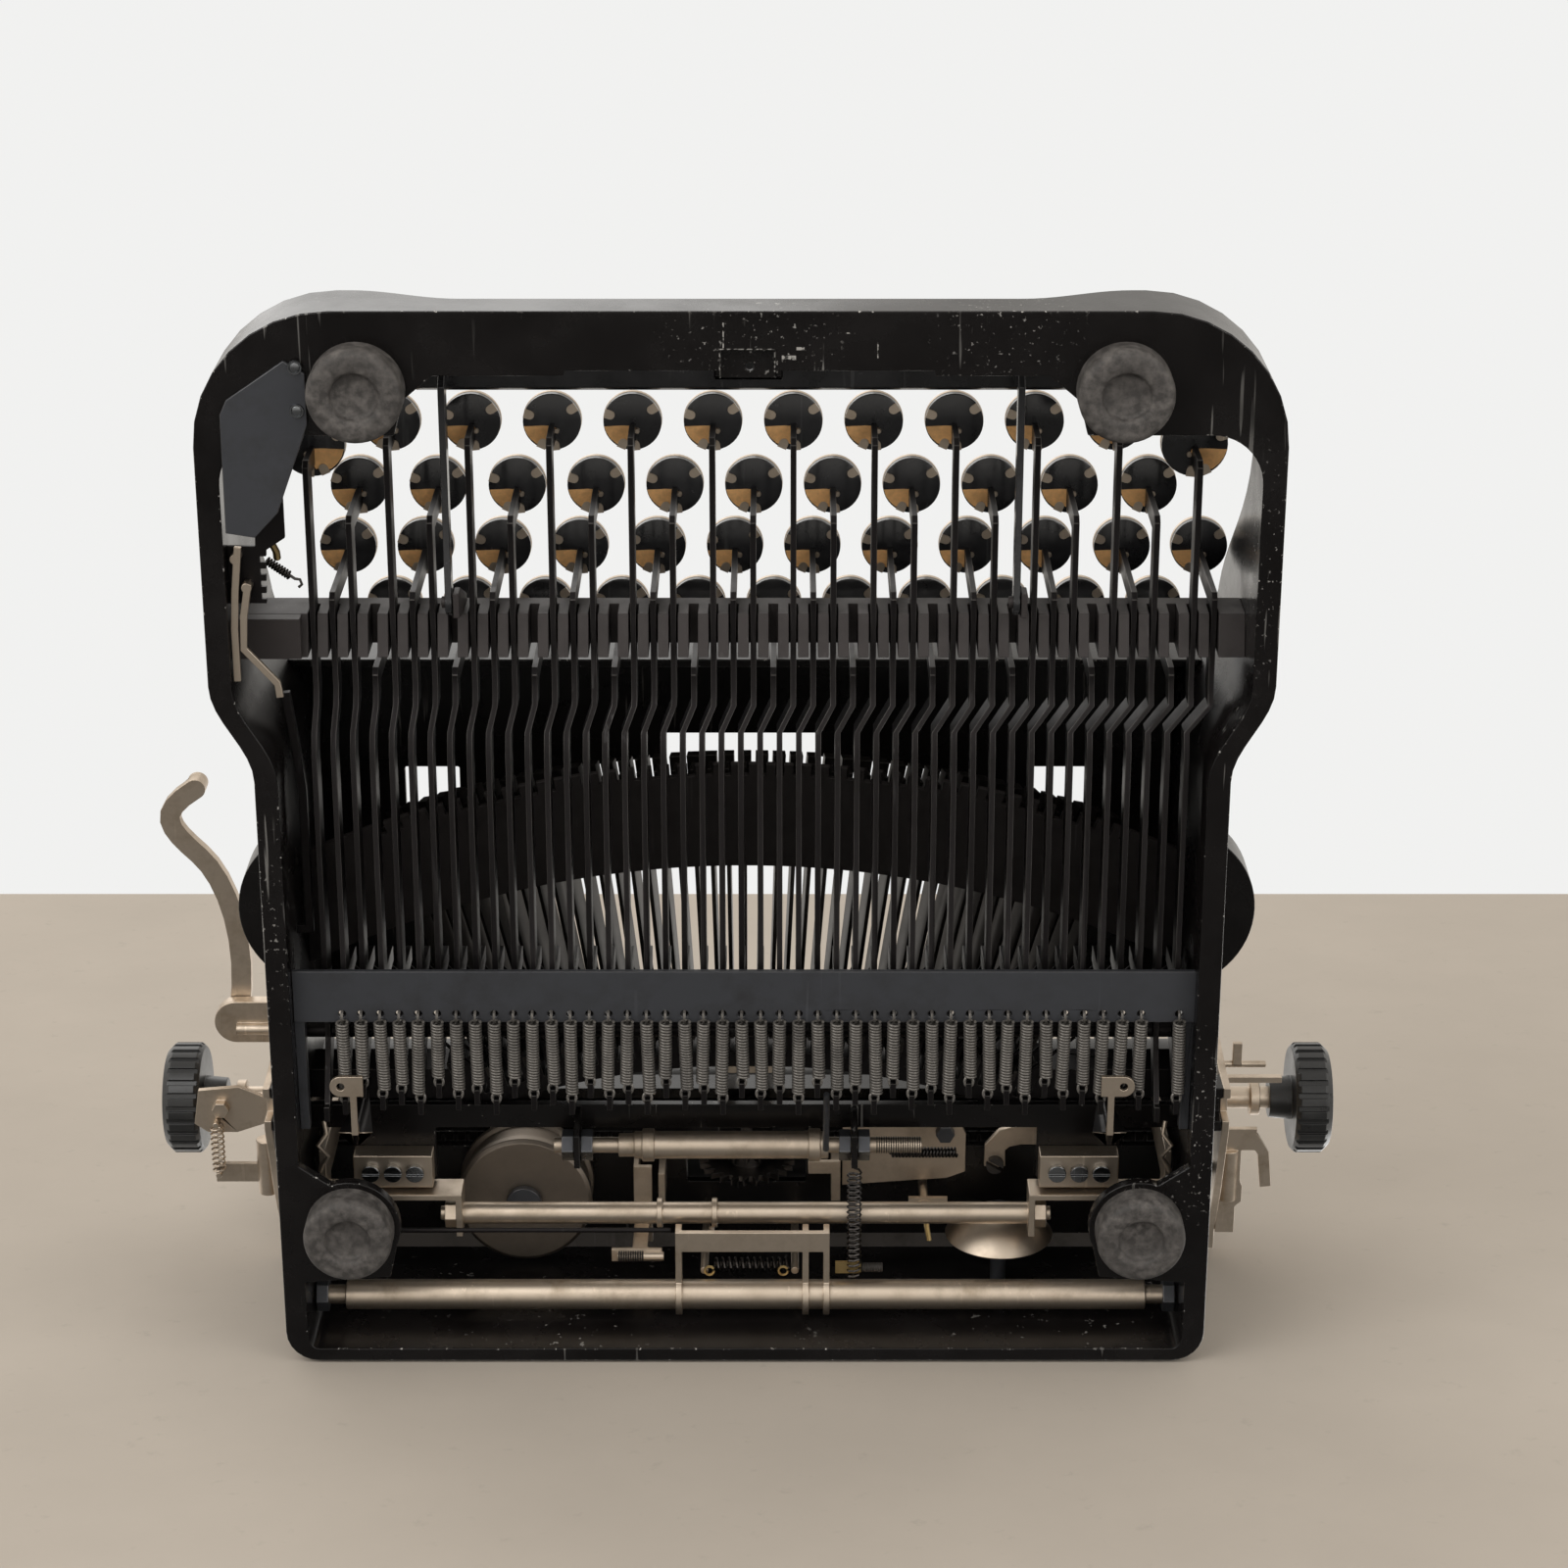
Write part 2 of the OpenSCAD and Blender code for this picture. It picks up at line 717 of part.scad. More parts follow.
module key_lever(s, ky, kh, ty, link_arm) {
    path = [
        [slot_x(s), ky - post_w], [slot_x(s), lever_jog_y],
        [rear_x(s), lever_jog_y + lever_jog_len], [rear_x(s), ty + 2]
    ];
    difference() {
        intersection() {
            linear_extrude(row_h(rows)) polygon(strip(path, lever_t));
            along_x((slot_x(s) + rear_x(s)) / 2, 3 * slot_pitch) lever_profile(ky, kh, ty, link_arm);
        }
        rod_x(rear_x(s) - slot_pitch, rear_x(s) + slot_pitch, fulcrum_y, fulcrum_h, fulcrum_r + run_clear);
    }
}

// Point on typebar i at distance r from the basket axis, moved sideways by side
function basket_point(i, r, side, h) =
    let (a = bar_angle(i))
    [r * sin(a) + side * cos(a), basket_y - r * cos(a) + side * sin(a), h];

// Pull wire from the lever's link arm to beside the heel of its typebar
module pull_link(s) {
    start = [rear_x(s), arm_y + arm_w / 2 + link_r + 0.1, arm_h - 2];
    side = s == centre_slot ? typebar_t / 2 + link_r + clear : 0;
    rod_between(start, basket_point(bar_of(s), pivot_r + heel_front + 0.8, side, pivot_h - heel_drop + 1), link_r);
}

module lever_row(r) {
    from_front() color("#3c3c3e") for (s = row_slots(r)) if (s != centre_slot) {
        key_lever(s, row_y(r), row_h(r), tail_y(r), true);
        pull_link(s);
    }
}

// Round key: card pad below, ring and domed cover above, underside at z = 0
module key_top(d) {
    r = d / 2;
    rotate_extrude() polygon([
        [0, 0], [r * 0.82, 0], [r * 0.82, 1.4], [r, 1.4], [r, key_t - 1], [r - 0.6, key_t - 0.4], [0, key_t]
    ]);
}

module key_row(r) {
    from_front() color("#20201f") for (s = row_slots(r)) if (s != centre_slot)
        translate([slot_x(s), row_y(r), row_h(r)]) key_top(key_d);
}

module centre_lever() {
    from_front() color("#3c3c3e") {
        key_lever(centre_slot, row_y(centre_row), row_h(centre_row), tail_y(centre_row), true);
        pull_link(centre_slot);
    }
}

module centre_key() {
    from_front() color("#20201f") translate([slot_x(centre_slot), row_y(centre_row), row_h(centre_row)])
        key_top(key_d);
}

// Typebar along +X with its pivot at the origin: hub in the radial plane, rolled blade rising to bar_rise
module typebar_blank(roll) {
    half = 2.2;
    waist = 1.5;
    neck = typebar_len - slug_len;
    slope = atan2(bar_rise - waist, neck);
    axis_h = blade_start * tan(slope);
    difference() {
        union() {
            rotate([90, 0, 0]) translate([0, 0, -typebar_t / 2]) linear_extrude(typebar_t) {
                circle(r = 2.6);
                polygon([
                    [-half, 0], [0, half], [blade_start + 2, axis_h + half], [blade_start + 2, axis_h - half],
                    [4, -half + 0.5], [heel_front, -heel_drop], [1.6, -heel_drop], [-1.6, -half]
                ]);
            }
            translate([blade_start, 0, axis_h]) rotate([0, -slope, 0]) rotate([roll, 0, 0]) rotate([0, slope, 0])
                translate([-blade_start, 0, -axis_h]) {
                    rotate([90, 0, 0]) translate([0, 0, -typebar_t / 2]) linear_extrude(typebar_t)
                        polygon([
                            [blade_start, axis_h + half], [neck, bar_rise + half - waist],
                            [typebar_len, bar_rise + half], [typebar_len, bar_rise - half],
                            [neck, bar_rise - half - waist], [blade_start, axis_h - half]
                        ]);
                    translate([neck + 2, -slug_w / 2, bar_rise + half - 1]) cube([slug_len, slug_w, slug_h]);
                }
        }
        rotate([90, 0, 0]) translate([0, 0, -slug_w]) cylinder(r = wire_r + run_clear, h = 2 * slug_w);
    }
}

module typebar(i) {
    translate([0, basket_y, pivot_h]) rotate([0, 0, bar_angle(i) - 90]) translate([pivot_r, 0, 0])
        typebar_blank(bar_roll * bar_angle(i));
}

module typebars() {
    from_front() color("#8b8a86") for (i = [0:typebar_count - 1]) if (i != centre_bar) typebar(i);
}

module centre_typebar() {
    from_front() color("#8b8a86") typebar(centre_bar);
}

// Ring sector round the basket axis, centred on the front direction
module basket_ring(r1, r2, h1, h2, half_angle) {
    translate([0, basket_y, 0]) rotate([0, 0, -90 - half_angle])
        rotate_extrude(angle = 2 * half_angle, $fn = 180) translate([r1, h1]) square([r2 - r1, h2 - h1]);
}

module segment() {
    last = bar_angle(typebar_count - 1);
    reach = last + 1;
    groove = wire_r + 0.1;
    inner = pivot_r - segment_in;
    bottom = pivot_h - segment_drop;
    arm_in = inner * sin(reach) - 4;
    from_front() color("#2b2b2d") difference() {
        union() {
            basket_ring(inner, pivot_r + segment_out, bottom, bottom + segment_h, reach);
            for (m = [0, 1]) mirror([m, 0, 0])
                translate([arm_in, segment_arm_y, bottom])
                    cube([inner_rear - arm_in, segment_arm_len, segment_h]);
        }
        for (i = [0:typebar_count - 1])
            translate([0, basket_y, bottom - 1]) rotate([0, 0, bar_angle(i) - 90])
                translate([inner + segment_spine, -bar_slot / 2, 0])
                    cube([segment_in + segment_out, bar_slot, segment_h + 2]);
        basket_ring(pivot_r - groove, pivot_r + groove, pivot_h - groove + 0.05, pivot_h + segment_h, last + 1);
    }
}

module segment_wire() {
    half = bar_angle(typebar_count - 1) + 0.6;
    from_front() color("#a9a49a") translate([0, basket_y, pivot_h]) rotate([0, 0, -90 - half])
        rotate_extrude(angle = 2 * half, $fn = 180) translate([pivot_r, 0]) circle(r = wire_r, $fn = 24);
}

module typebar_rest() {
    notch_r = rest_r + rest_w;
    from_front() color("#17171a") difference() {
        intersection() {
            basket_ring(rest_r, notch_r, rest_h, rest_h + rest_t, 56);
            translate([-inner_rear, 0, 0]) cube([2 * inner_rear, frame_depth, deck_h]);
        }
        for (i = [0:typebar_count - 1])
            translate([0, basket_y, rest_h - 1]) rotate([0, 0, bar_angle(i) - 90])
                translate([notch_r - 3, -typebar_t, 0]) cube([6, 2 * typebar_t, rest_t + 2]);
    }
}

// Forked guide that centres the type at the printing point, standing on the segment's spine
module type_guide() {
    inner = pivot_r - segment_in;
    base = pivot_h - segment_drop;
    prong_x = [2.6, 7];
    foot_y = basket_y - sqrt(inner * inner - prong_x[1] * prong_x[1]) + 0.02;
    lean = 9;
    top = platen_h - 6;
    from_front() color("#b5b0a6") {
        translate([-prong_x[1], foot_y, base]) cube([2 * prong_x[1], 2, segment_h]);
        for (m = [0, 1]) mirror([m, 0, 0])
            along_x((prong_x[0] + prong_x[1]) / 2, prong_x[1] - prong_x[0])
                polygon([
                    [foot_y, base + segment_h], [foot_y + lean, top],
                    [foot_y + lean + 1.6, top], [foot_y + 2, base + segment_h]
                ]);
    }
}

module spool_cups() {
    from_front() color("#16161a") for (m = [0, 1]) mirror([m, 0, 0]) translate([cup_x, cup_y, deck_h]) {
        difference() {
            cylinder(r = cup_r, h = cup_h);
            translate([0, 0, cup_t]) cylinder(r = cup_r - cup_t, h = cup_h);
        }
        cylinder(r = spool_pin_r, h = cup_h + 2);
    }
}

module spool(side) {
    bore = spool_pin_r + run_clear;
    from_front() color("#8d8b85") translate([side * cup_x, cup_y, deck_h + cup_t + clear]) rotate_extrude()
        polygon([
            [bore, 0], [spool_r, 0], [spool_r, spool_flange_t], [spool_core_r, spool_flange_t],
            [spool_core_r, spool_h - spool_flange_t], [spool_r, spool_h - spool_flange_t],
            [spool_r, spool_h], [bore, spool_h]
        ]);
}

module left_spool() { spool(-1); }
module right_spool() { spool(1); }

// Turned bar along X: list of [x, radius] steps
module turned_x(steps, y, z) {
    profile = concat(
        [[0, steps[0].x]],
        [for (i = [0:len(steps) - 2]) each [[steps[i].y, steps[i].x], [steps[i].y, steps[i + 1].x]]],
        [[0, steps[len(steps) - 1].x]]
    );
    translate([0, y, z]) rotate([0, 90, 0]) rotate_extrude() polygon(profile);
}

module rear_tube() {
    half = rear_tube_half;
    from_front() color("#b9b1a2")
        turned_x([
            [clear - inner_rear, rear_rod_r], [-half, rear_tube_r],
            [half, rear_rod_r], [inner_rear - clear, rear_rod_r]
        ], rear_tube_y, rear_tube_h);
}

module universal_tube() {
    from_front() color("#b9b1a2")
        turned_x([
            [bracket_x[0] - 6, universal_rod_r], [-32, universal_rod_r + 1], [-28, universal_r],
            [-26, universal_r + 0.7], [-23, universal_r], [16, universal_r + 0.7], [19, universal_r],
            [21, universal_rod_r], [bracket_x[1] + 17, universal_rod_r]
        ], universal_y, universal_h);
}

module bed_plate() {
    from_front() color("#26262a") {
        translate([-inner_rear, bed_y, bed_h]) cube([2 * inner_rear, bed_len, bed_t]);
        for (x = block_x)
            translate([x - block_w / 2 - 0.5, bed_y, bed_h])
                cube([block_w + 1, block_y + block_len - bed_y, bed_t]);
        for (x = bracket_x) difference() {
            along_x(x, bracket_t) polygon([
                [bed_y + 0.5, bed_h + bed_t], [bed_y + bed_len, bed_h + bed_t],
                [universal_y + 4.5, universal_h + 3], [universal_y + 4.5, universal_h - 4.5],
                [universal_y - 4.5, universal_h - 4.5], [bed_y + 0.5, bed_h - 4]
            ]);
            rod_x(x - bracket_t, x + bracket_t, universal_y, universal_h, universal_rod_r + run_clear);
        }
    }
}

module screw_blocks() {
    from_front() color("#a39c8e") for (x = block_x) difference() {
        translate([x - block_w / 2, block_y, bed_h - block_h]) cube([block_w, block_len, block_h]);
        for (k = [-1:1])
            translate([x + k * block_screw_step, block_y + block_len / 2, bed_h - block_h - 1])
                cylinder(r = screw_r / 2 + run_clear, h = block_h + 2);
    }
}

// All screws and nuts that stay with the casting
module fasteners() {
    from_front() color("#2f3b4c") {
        for (p = foot_places) translate([p.x, p.y, -foot_h + foot_recess]) {
            slotted_screw(foot_recess_r - 0.6, 1.6, foot_screw_r, foot_h - foot_recess + flange_t);
            translate([0, 0, foot_h - foot_recess + flange_t])
                cylinder(r = foot_screw_r + 1.6, h = 2.4, $fn = 6);
        }
        for (x = block_x, k = [-1:1])
            translate([x + k * block_screw_step, block_y + block_len / 2, bed_h - block_h])
                slotted_screw(screw_r, 1.6, screw_r / 2, block_h);
        for (m = [0, 1]) mirror([m, 0, 0])
            translate([inner_rear - 2 * clear - nut_t, rear_tube_y, rear_tube_h]) rotate([0, 90, 0])
                hex_nut(nut_r - 0.2, nut_t, rear_rod_r + run_clear);
        for (x = bracket_x, k = [-1, 1])
            translate([x + k * (bracket_t / 2 + 0.1) + (k < 0 ? -nut_t : 0), universal_y, universal_h])
                rotate([0, 90, 0]) hex_nut(nut_r - 0.6, nut_t, universal_rod_r + run_clear);
        translate([drum_x, drum_y, drum_h - clear]) {
            slotted_screw(drum_pin_r + 1.6, 2, drum_pin_r, shelf_h + shelf_t - drum_h + clear);
            translate([0, 0, shelf_h + shelf_t - drum_h + clear])
                cylinder(r = drum_pin_r + 2.4, h = 2, $fn = 6);
        }
        translate([bell_x, bell_y - bell_len, bell_h]) rotate([-90, 0, 0])
            slotted_screw(bell_pin_r + 1, bell_head_t, bell_pin_r, frame_depth - rear_wall_t - bell_y + bell_len);
        translate([mount_bolt.x, mount_bolt.y, mount_h - nut_t])
            cylinder(r = mount_bolt_r, h = nut_t, $fn = 6);
    }
}

module rear_shelf() {
    window = wheel_r + 3;
    from_front() color("#18181b") difference() {
        translate([-inner_rear, shelf_y, shelf_h]) cube([2 * inner_rear, shelf_len, shelf_t]);
        translate([-window, shelf_y - 1, shelf_h - 1])
            cube([2 * window, wheel_y + wheel_t + 5 - shelf_y, shelf_t + 2]);
        translate([drum_x, drum_y, shelf_h - 1]) cylinder(r = drum_pin_r + run_clear, h = shelf_t + 2);
    }
}

// Shallow gong, open to the back wall, held by a screw through its crown
module bell() {
    sphere_r = (bell_r * bell_r + bell_len * bell_len) / (2 * bell_len);
    edge = asin(bell_r / sphere_r);
    steps = 8;
    hole = asin((bell_pin_r + run_clear) / sphere_r);
    angles = [for (i = [0:steps]) hole + (edge - hole) * i / steps];
    inner_r = sphere_r - bell_t;
    from_front() color("#c9c4b8") translate([bell_x, bell_y - bell_len, bell_h]) rotate([-90, 0, 0])
        rotate_extrude() polygon(concat(
        [for (a = angles) [sphere_r * sin(a), sphere_r * (1 - cos(a))]],
        [for (i = [steps:-1:0]) let (a = angles[i]) [inner_r * sin(a) * (i == 0 ? sphere_r / inner_r : 1),
            sphere_r - inner_r * cos(a)]]
    ));
}

// One unbroken coil along Z from 0 to len, with straight ends on the axis circle
function coil_turns(len) = floor((len - 4 * coil_wire_r) / coil_pitch);
function coil_line(len) =
    let (n = coil_turns(len) * coil_rings, lead = 2 * coil_wire_r, rise = len - 2 * lead)
    concat(
        [[coil_r, 0, 0]],
        [for (i = [0:n]) let (a = 360 * i / coil_rings) [coil_r * cos(a), coil_r * sin(a), lead + rise * i / n]],
        [[coil_r, 0, len]]
    );

module tube_along(line, r) {
    n = len(line);
    tangents = [for (i = [0:n - 1])
        let (d = line[min(i + 1, n - 1)] - line[max(i - 1, 0)]) d / norm(d)];
    rings = [for (i = [0:n - 1])
        let (out = [line[i].x, line[i].y, 0] / coil_r,
             t = i == 0 || i == n - 1 ? [0, 0, 1] : tangents[i],
             u = out - t * (out * t), un = u / norm(u), v = cross(t, un))
        for (k = [0:coil_sides - 1]) let (a = 360 * k / coil_sides) line[i] + r * (un * cos(a) + v * sin(a))];
    sides = [for (i = [0:n - 2], k = [0:coil_sides - 1])
        let (a = i * coil_sides + k, b = i * coil_sides + (k + 1) % coil_sides)
        each [[a, a + coil_sides, b], [b, a + coil_sides, b + coil_sides]]];
    last = (n - 1) * coil_sides;
    caps = [for (k = [1:coil_sides - 2]) each [[0, k, k + 1], [last, last + k + 1, last + k]]];
    polyhedron(rings, concat(sides, caps));
}

// Least gap between windings more than half a turn apart
function coil_gap(line) = min([for (i = [0:len(line) - 1], j = [i + coil_rings / 2 + 1:1:len(line) - 1])
    norm(line[i] - line[j]) - 2 * coil_wire_r]);

// Spring from the universal tube's right bracket to the rear tube, and one between the two pins
module coil_springs() {
    long = coil_line(coil_end_y - coil_start_y);
    short = coil_line(pin_x[1] - pin_x[0] - 2 * (pin_r + clear));
    echo(coil_gap_mm = min(coil_gap(long), coil_gap(short)));
    from_front() color("#8f8a80") {
        translate([coil_x, coil_start_y, coil_h]) rotate([-90, 0, 0]) rotate([0, 0, -90])
            tube_along(long, coil_wire_r);
        translate([pin_x[0] + pin_r + clear, pin_y, pin_h + 2 * coil_r]) rotate([0, 90, 0])
            tube_along(short, coil_wire_r);
    }
}

// Space bar on two bent arms that turn on the comb's pins
module space_bar() {
    from_front() {
        color("#1a1a1c") along_x(0, 2 * space_half) polygon([
            [space_y, space_h + 1.5], [space_y + 1, space_h], [space_y + space_len - 1, space_h],
            [space_y + space_len, space_h + 1.5], [space_y + space_len, space_h + space_t - 2],
            [space_y + space_len - 2.5, space_h + space_t], [space_y + 2.5, space_h + space_t],
            [space_y, space_h + space_t - 2]
        ]);
        color("#3c3c3e") for (s = arm_slots) difference() {
            along_x(slot_x(s), arm_t) {
                polygon([
                    [space_y + 3, space_h], [space_y + 8.5, space_h], [space_y + 8.5, space_pivot_h + 2.5],
                    [space_pivot_y, space_pivot_h + 2.5], [space_pivot_y, space_pivot_h - 2.5],
                    [space_y + 6, space_pivot_h - 2.5], [space_y + 3, space_pivot_h + 1]
                ]);
                translate([space_pivot_y, space_pivot_h]) circle(r = space_pin_r + 1.6);
            }
            rod_x(slot_x(s) - arm_t, slot_x(s) + arm_t, space_pivot_y, space_pivot_h, space_pin_r + run_clear);
        }
    }
}

module shift_lever(s) {
    from_front() {
        color("#3c3c3e") key_lever(s, shift_key_y, first_row_h, fulcrum_y + tail_len + 2, false);
        color("#20201f") translate([slot_x(s), shift_key_y, first_row_h]) key_top(shift_key_d);
    }
}

module left_shift() { shift_lever(left_shift_slot); }
module right_shift() { shift_lever(right_shift_slot); }

module shift_rail() {
    from_front() color("#6f6c66") {
        translate([-rail_half, rail_y, rail_h]) cube([2 * rail_half, rail_w, rail_t]);
        difference() {
            translate([-6, rail_y + 0.5, pinion_axis_h - 5]) cube([12, 3, rail_h - pinion_axis_h + 5]);
            rod_y(rail_y, rail_y + 4, 0, pinion_axis_h, axle_r + run_clear);
        }
    }
}

// Bent straps joined by the cross tube, one side of the bail drawn and mirrored
module shift_bail() {
    end_x = bail_tube_half + cradle_arm_t / 2;
    from_front() color("#b9b1a2") {
        for (m = [0, 1]) mirror([m, 0, 0]) {
            translate([cradle_arm_x, rail_y - 4.5, bail_h])
                cube([cradle_arm_t, bail_y + cradle_arm_t - rail_y + 4.5, bail_depth]);
            translate([cradle_arm_x, rail_y - 4.5, bail_h]) cube([cradle_arm_t, rail_w + 4.5, rail_h - bail_h]);
            translate([end_x - cradle_arm_t / 2, bail_y, bail_h])
                cube([cradle_arm_x + cradle_arm_t - end_x + cradle_arm_t / 2, cradle_arm_t, bail_depth]);
            translate([end_x - cradle_arm_t / 2, bail_y, bail_h])
                cube([cradle_arm_t, bail_tube_y - bail_y + 4.5, bail_depth]);
        }
        rod_x(-end_x - bail_rod_out, end_x + bail_rod_out, bail_tube_y, bail_tube_h, bail_rod_r);
        rod_x(-end_x, end_x, bail_tube_y, bail_tube_h, bail_tube_r);
        for (x = bail_collars) rod_x(x, x + bail_collar_w, bail_tube_y, bail_tube_h, bail_collar_r);
        for (x = [-end_x - cradle_arm_t / 2 - nut_t, end_x + cradle_arm_t / 2])
            translate([x, bail_tube_y, bail_tube_h]) rotate([0, 90, 0])
                cylinder(r = nut_r - 0.8, h = nut_t, $fn = 6);
    }
}

// Straight-flanked teeth with backlash, pointing along +X from root to tip
module tooth(root, tip, length) {
    linear_extrude(length)
        polygon([[root - 0.4, -0.62], [tip, -0.32], [tip, 0.32], [root - 0.4, 0.62]]);
}

module escape_wheel() {
    root = pinion_r - 1.1 * tooth_module;
    from_front() color("#9a958b") translate([0, 0, pinion_axis_h]) {
        rod_y(rail_y, rail_y + escapement_len, 0, 0, axle_r);
        translate([0, pinion_y, 0]) rotate([-90, 0, 0]) {
            cylinder(r = root, h = wheel_y - pinion_y);
            for (k = [0:pinion_teeth - 1]) rotate([0, 0, 90 + 360 * k / pinion_teeth])
                tooth(root, pinion_r + 0.8 * tooth_module, pinion_len);
        }
        translate([0, wheel_y, 0]) rotate([-90, 0, 0]) {
            cylinder(r = wheel_r - 2.5, h = wheel_t);
            for (k = [0:wheel_teeth - 1]) rotate([0, 0, 360 * k / wheel_teeth]) linear_extrude(wheel_t)
                polygon([[wheel_r - 3, -0.8], [wheel_r, 0.4], [wheel_r, 0.8], [wheel_r - 3, 1]]);
        }
    }
}

module carriage_channel() {
    from_front() color("#1c1c1f") along_x(0, carriage_w) difference() {
        translate([channel_y, channel_bottom]) square([channel_w, channel_top - channel_bottom]);
        translate([channel_y + channel_wall, channel_bottom - 1])
            square([rail_w + 2 * clear, rail_h + rail_t + clear - channel_bottom + 1]);
    }
}

module escapement_rack() {
    pitch = PI * tooth_module;
    line_h = pinion_axis_h + pinion_r;
    base_h = line_h + tooth_module;
    count = floor(rack_len / pitch / 2);
    from_front() color("#8f8a80") {
        translate([-rack_len / 2, channel_y + channel_w, base_h])
            cube([rack_len, pinion_y + pinion_len - channel_y - channel_w, 5]);
        for (k = [-count:count - 1]) translate([(k + 0.5) * pitch, pinion_y, base_h]) rotate([-90, 90, 0])
            linear_extrude(pinion_len)
                polygon([[-0.2, -0.62], [1.8 * tooth_module, -0.32], [1.8 * tooth_module, 0.32], [-0.2, 0.62]]);
    }
}

module end_plate(side) {
    from_front() color("#c2bbad") difference() {
        along_x(side * (channel_half + plate_t / 2), plate_t) {
            polygon([
                [channel_y, channel_bottom], [channel_y + channel_w, channel_bottom],
                [feed_y(1) + 4, feed_h - 8], [margin_y, margin_h], [margin_y + margin_w, margin_h],
                [margin_y + margin_w, margin_h + margin_t], [platen_y + 14, platen_h + 14],
                [platen_y - 14, platen_h + 14], [return_pivot_y + 2, platen_h + 2],
                [return_pivot_y + 2, return_h - 6], [channel_y, channel_top + 4]
            ]);
            translate([platen_y, platen_h]) circle(r = platen_r + 3);
        }
        translate([-2 * channel_half, rail_y - clear, channel_bottom - 1])
            cube([4 * channel_half, rail_w + 2 * clear, rail_h + rail_t + clear - channel_bottom + 1]);
        x = side * (channel_half + plate_t / 2);
        rod_x(x - plate_t, x + plate_t, platen_y, platen_h, platen_shaft_r + run_clear);
        for (f = [-1, 1]) rod_x(x - plate_t, x + plate_t, feed_y(f), feed_h, feed_rod_r + run_clear);
    }
}

module left_end_plate() { end_plate(-1); }
module right_end_plate() { end_plate(1); }

module margin_bar() {
    stop_w = 9;
    from_front() color("#8f8a80") {
        difference() {
            translate([-channel_half, margin_y, margin_h]) cube([carriage_w, margin_w, margin_t]);
            for (x = [-channel_half + 20:5:channel_half - 20])
                translate([x - 0.8, margin_y + margin_w - 1.2, margin_h + 2]) cube([1.6, 2, margin_t]);
        }
        for (m = [0, 1]) mirror([m, 0, 0])
            translate([channel_half - 32, margin_y, margin_h + margin_t]) cube([stop_w, margin_w, 6]);
    }
}

// Curved sheet behind the platen, carried on two brackets from the margin bar
module paper_table() {
    bracket_y = table_path[1].x;
    bracket_h = table_path[1].y - 1.5;
    from_front() color("#17171a") {
        along_x(0, 2 * table_half) polygon(table_section);
        for (m = [0, 1]) mirror([m, 0, 0])
            translate([table_half - 40, bracket_y, bracket_h]) cube([10, margin_y - bracket_y, 3]);
    }
}

module platen_roller() {
    from_front() color("#1d1d1d") difference() {
        rod_x(-roller_half, roller_half, platen_y, platen_h, platen_r);
        rod_x(-roller_half - 1, roller_half + 1, platen_y, platen_h, platen_shaft_r + 0.02);
    }
}

module platen_shaft() {
    collar = [trim_x + 9.8, trim_x + 12.4];
    collar_r = platen_shaft_r + 1.8;
    from_front() color("#b9b1a2")
        turned_x([
            [-shaft_half, platen_shaft_r], [-collar[1], collar_r], [-collar[0], platen_shaft_r],
            [collar[0], collar_r], [collar[1], platen_shaft_r], [shaft_half, platen_shaft_r]
        ], platen_y, platen_h);
}

// Ribbed knob with a hub towards the end plate, along +Z from its inner face
module knob() {
    rib_deep = 0.7;
    rib_gap = 1.4;
    difference() {
        rotate_extrude() polygon([
            [platen_shaft_r + 0.02, -knob_hub_len], [knob_hub_r - 0.6, -knob_hub_len], [knob_hub_r, 0],
            [knob_r - 1.2, 0], [knob_r, 1.2], [knob_r, knob_len - 2], [knob_r - 2, knob_len],
            [0, knob_len], [0, knob_len - 2], [platen_shaft_r + 0.02, knob_len - 2]
        ]);
        for (k = [0:knob_ribs - 1]) rotate([0, 0, 360 * k / knob_ribs])
            translate([knob_r - rib_deep, -rib_gap / 2, -1]) cube([2 * rib_deep, rib_gap, knob_len + 2]);
    }
}

module platen_knobs() {
    inner = knob_span / 2 - knob_len;
    from_front() color("#121214") for (m = [0, 1]) mirror([m, 0, 0])
        translate([inner, platen_y, platen_h]) rotate([0, 90, 0]) knob();
}

module ratchet_wheel() {
    from_front() color("#8f8a80") translate([-roller_half - ratchet_t - 0.5, platen_y, platen_h])
        rotate([0, 90, 0]) difference() {
            union() {
                cylinder(r = ratchet_r - 1.2, h = ratchet_t);
                for (k = [0:ratchet_teeth - 1]) rotate([0, 0, 360 * k / ratchet_teeth]) linear_extrude(ratchet_t)
                    polygon([[ratchet_r - 2.5, -0.7], [ratchet_r, 0.2], [ratchet_r, 0.5], [ratchet_r - 2.5, 0.9]]);
            }
            translate([0, 0, -1]) cylinder(r = platen_shaft_r + 0.02, h = ratchet_t + 2);
        }
}

module feed_roller(side) {
    roll = 40;
    far = roller_half - 10;
    end = channel_half + plate_t;
    from_front() color("#2a2a2a")
        turned_x([
            [-end, feed_rod_r], [-far, feed_r], [-far + roll, feed_rod_r], [-roll / 2, feed_r],
            [roll / 2, feed_rod_r], [far - roll, feed_r], [far, feed_rod_r], [end, feed_rod_r]
        ], feed_y(side), feed_h);
}

module front_feed_roller() { feed_roller(-1); }
module rear_feed_roller() { feed_roller(1); }

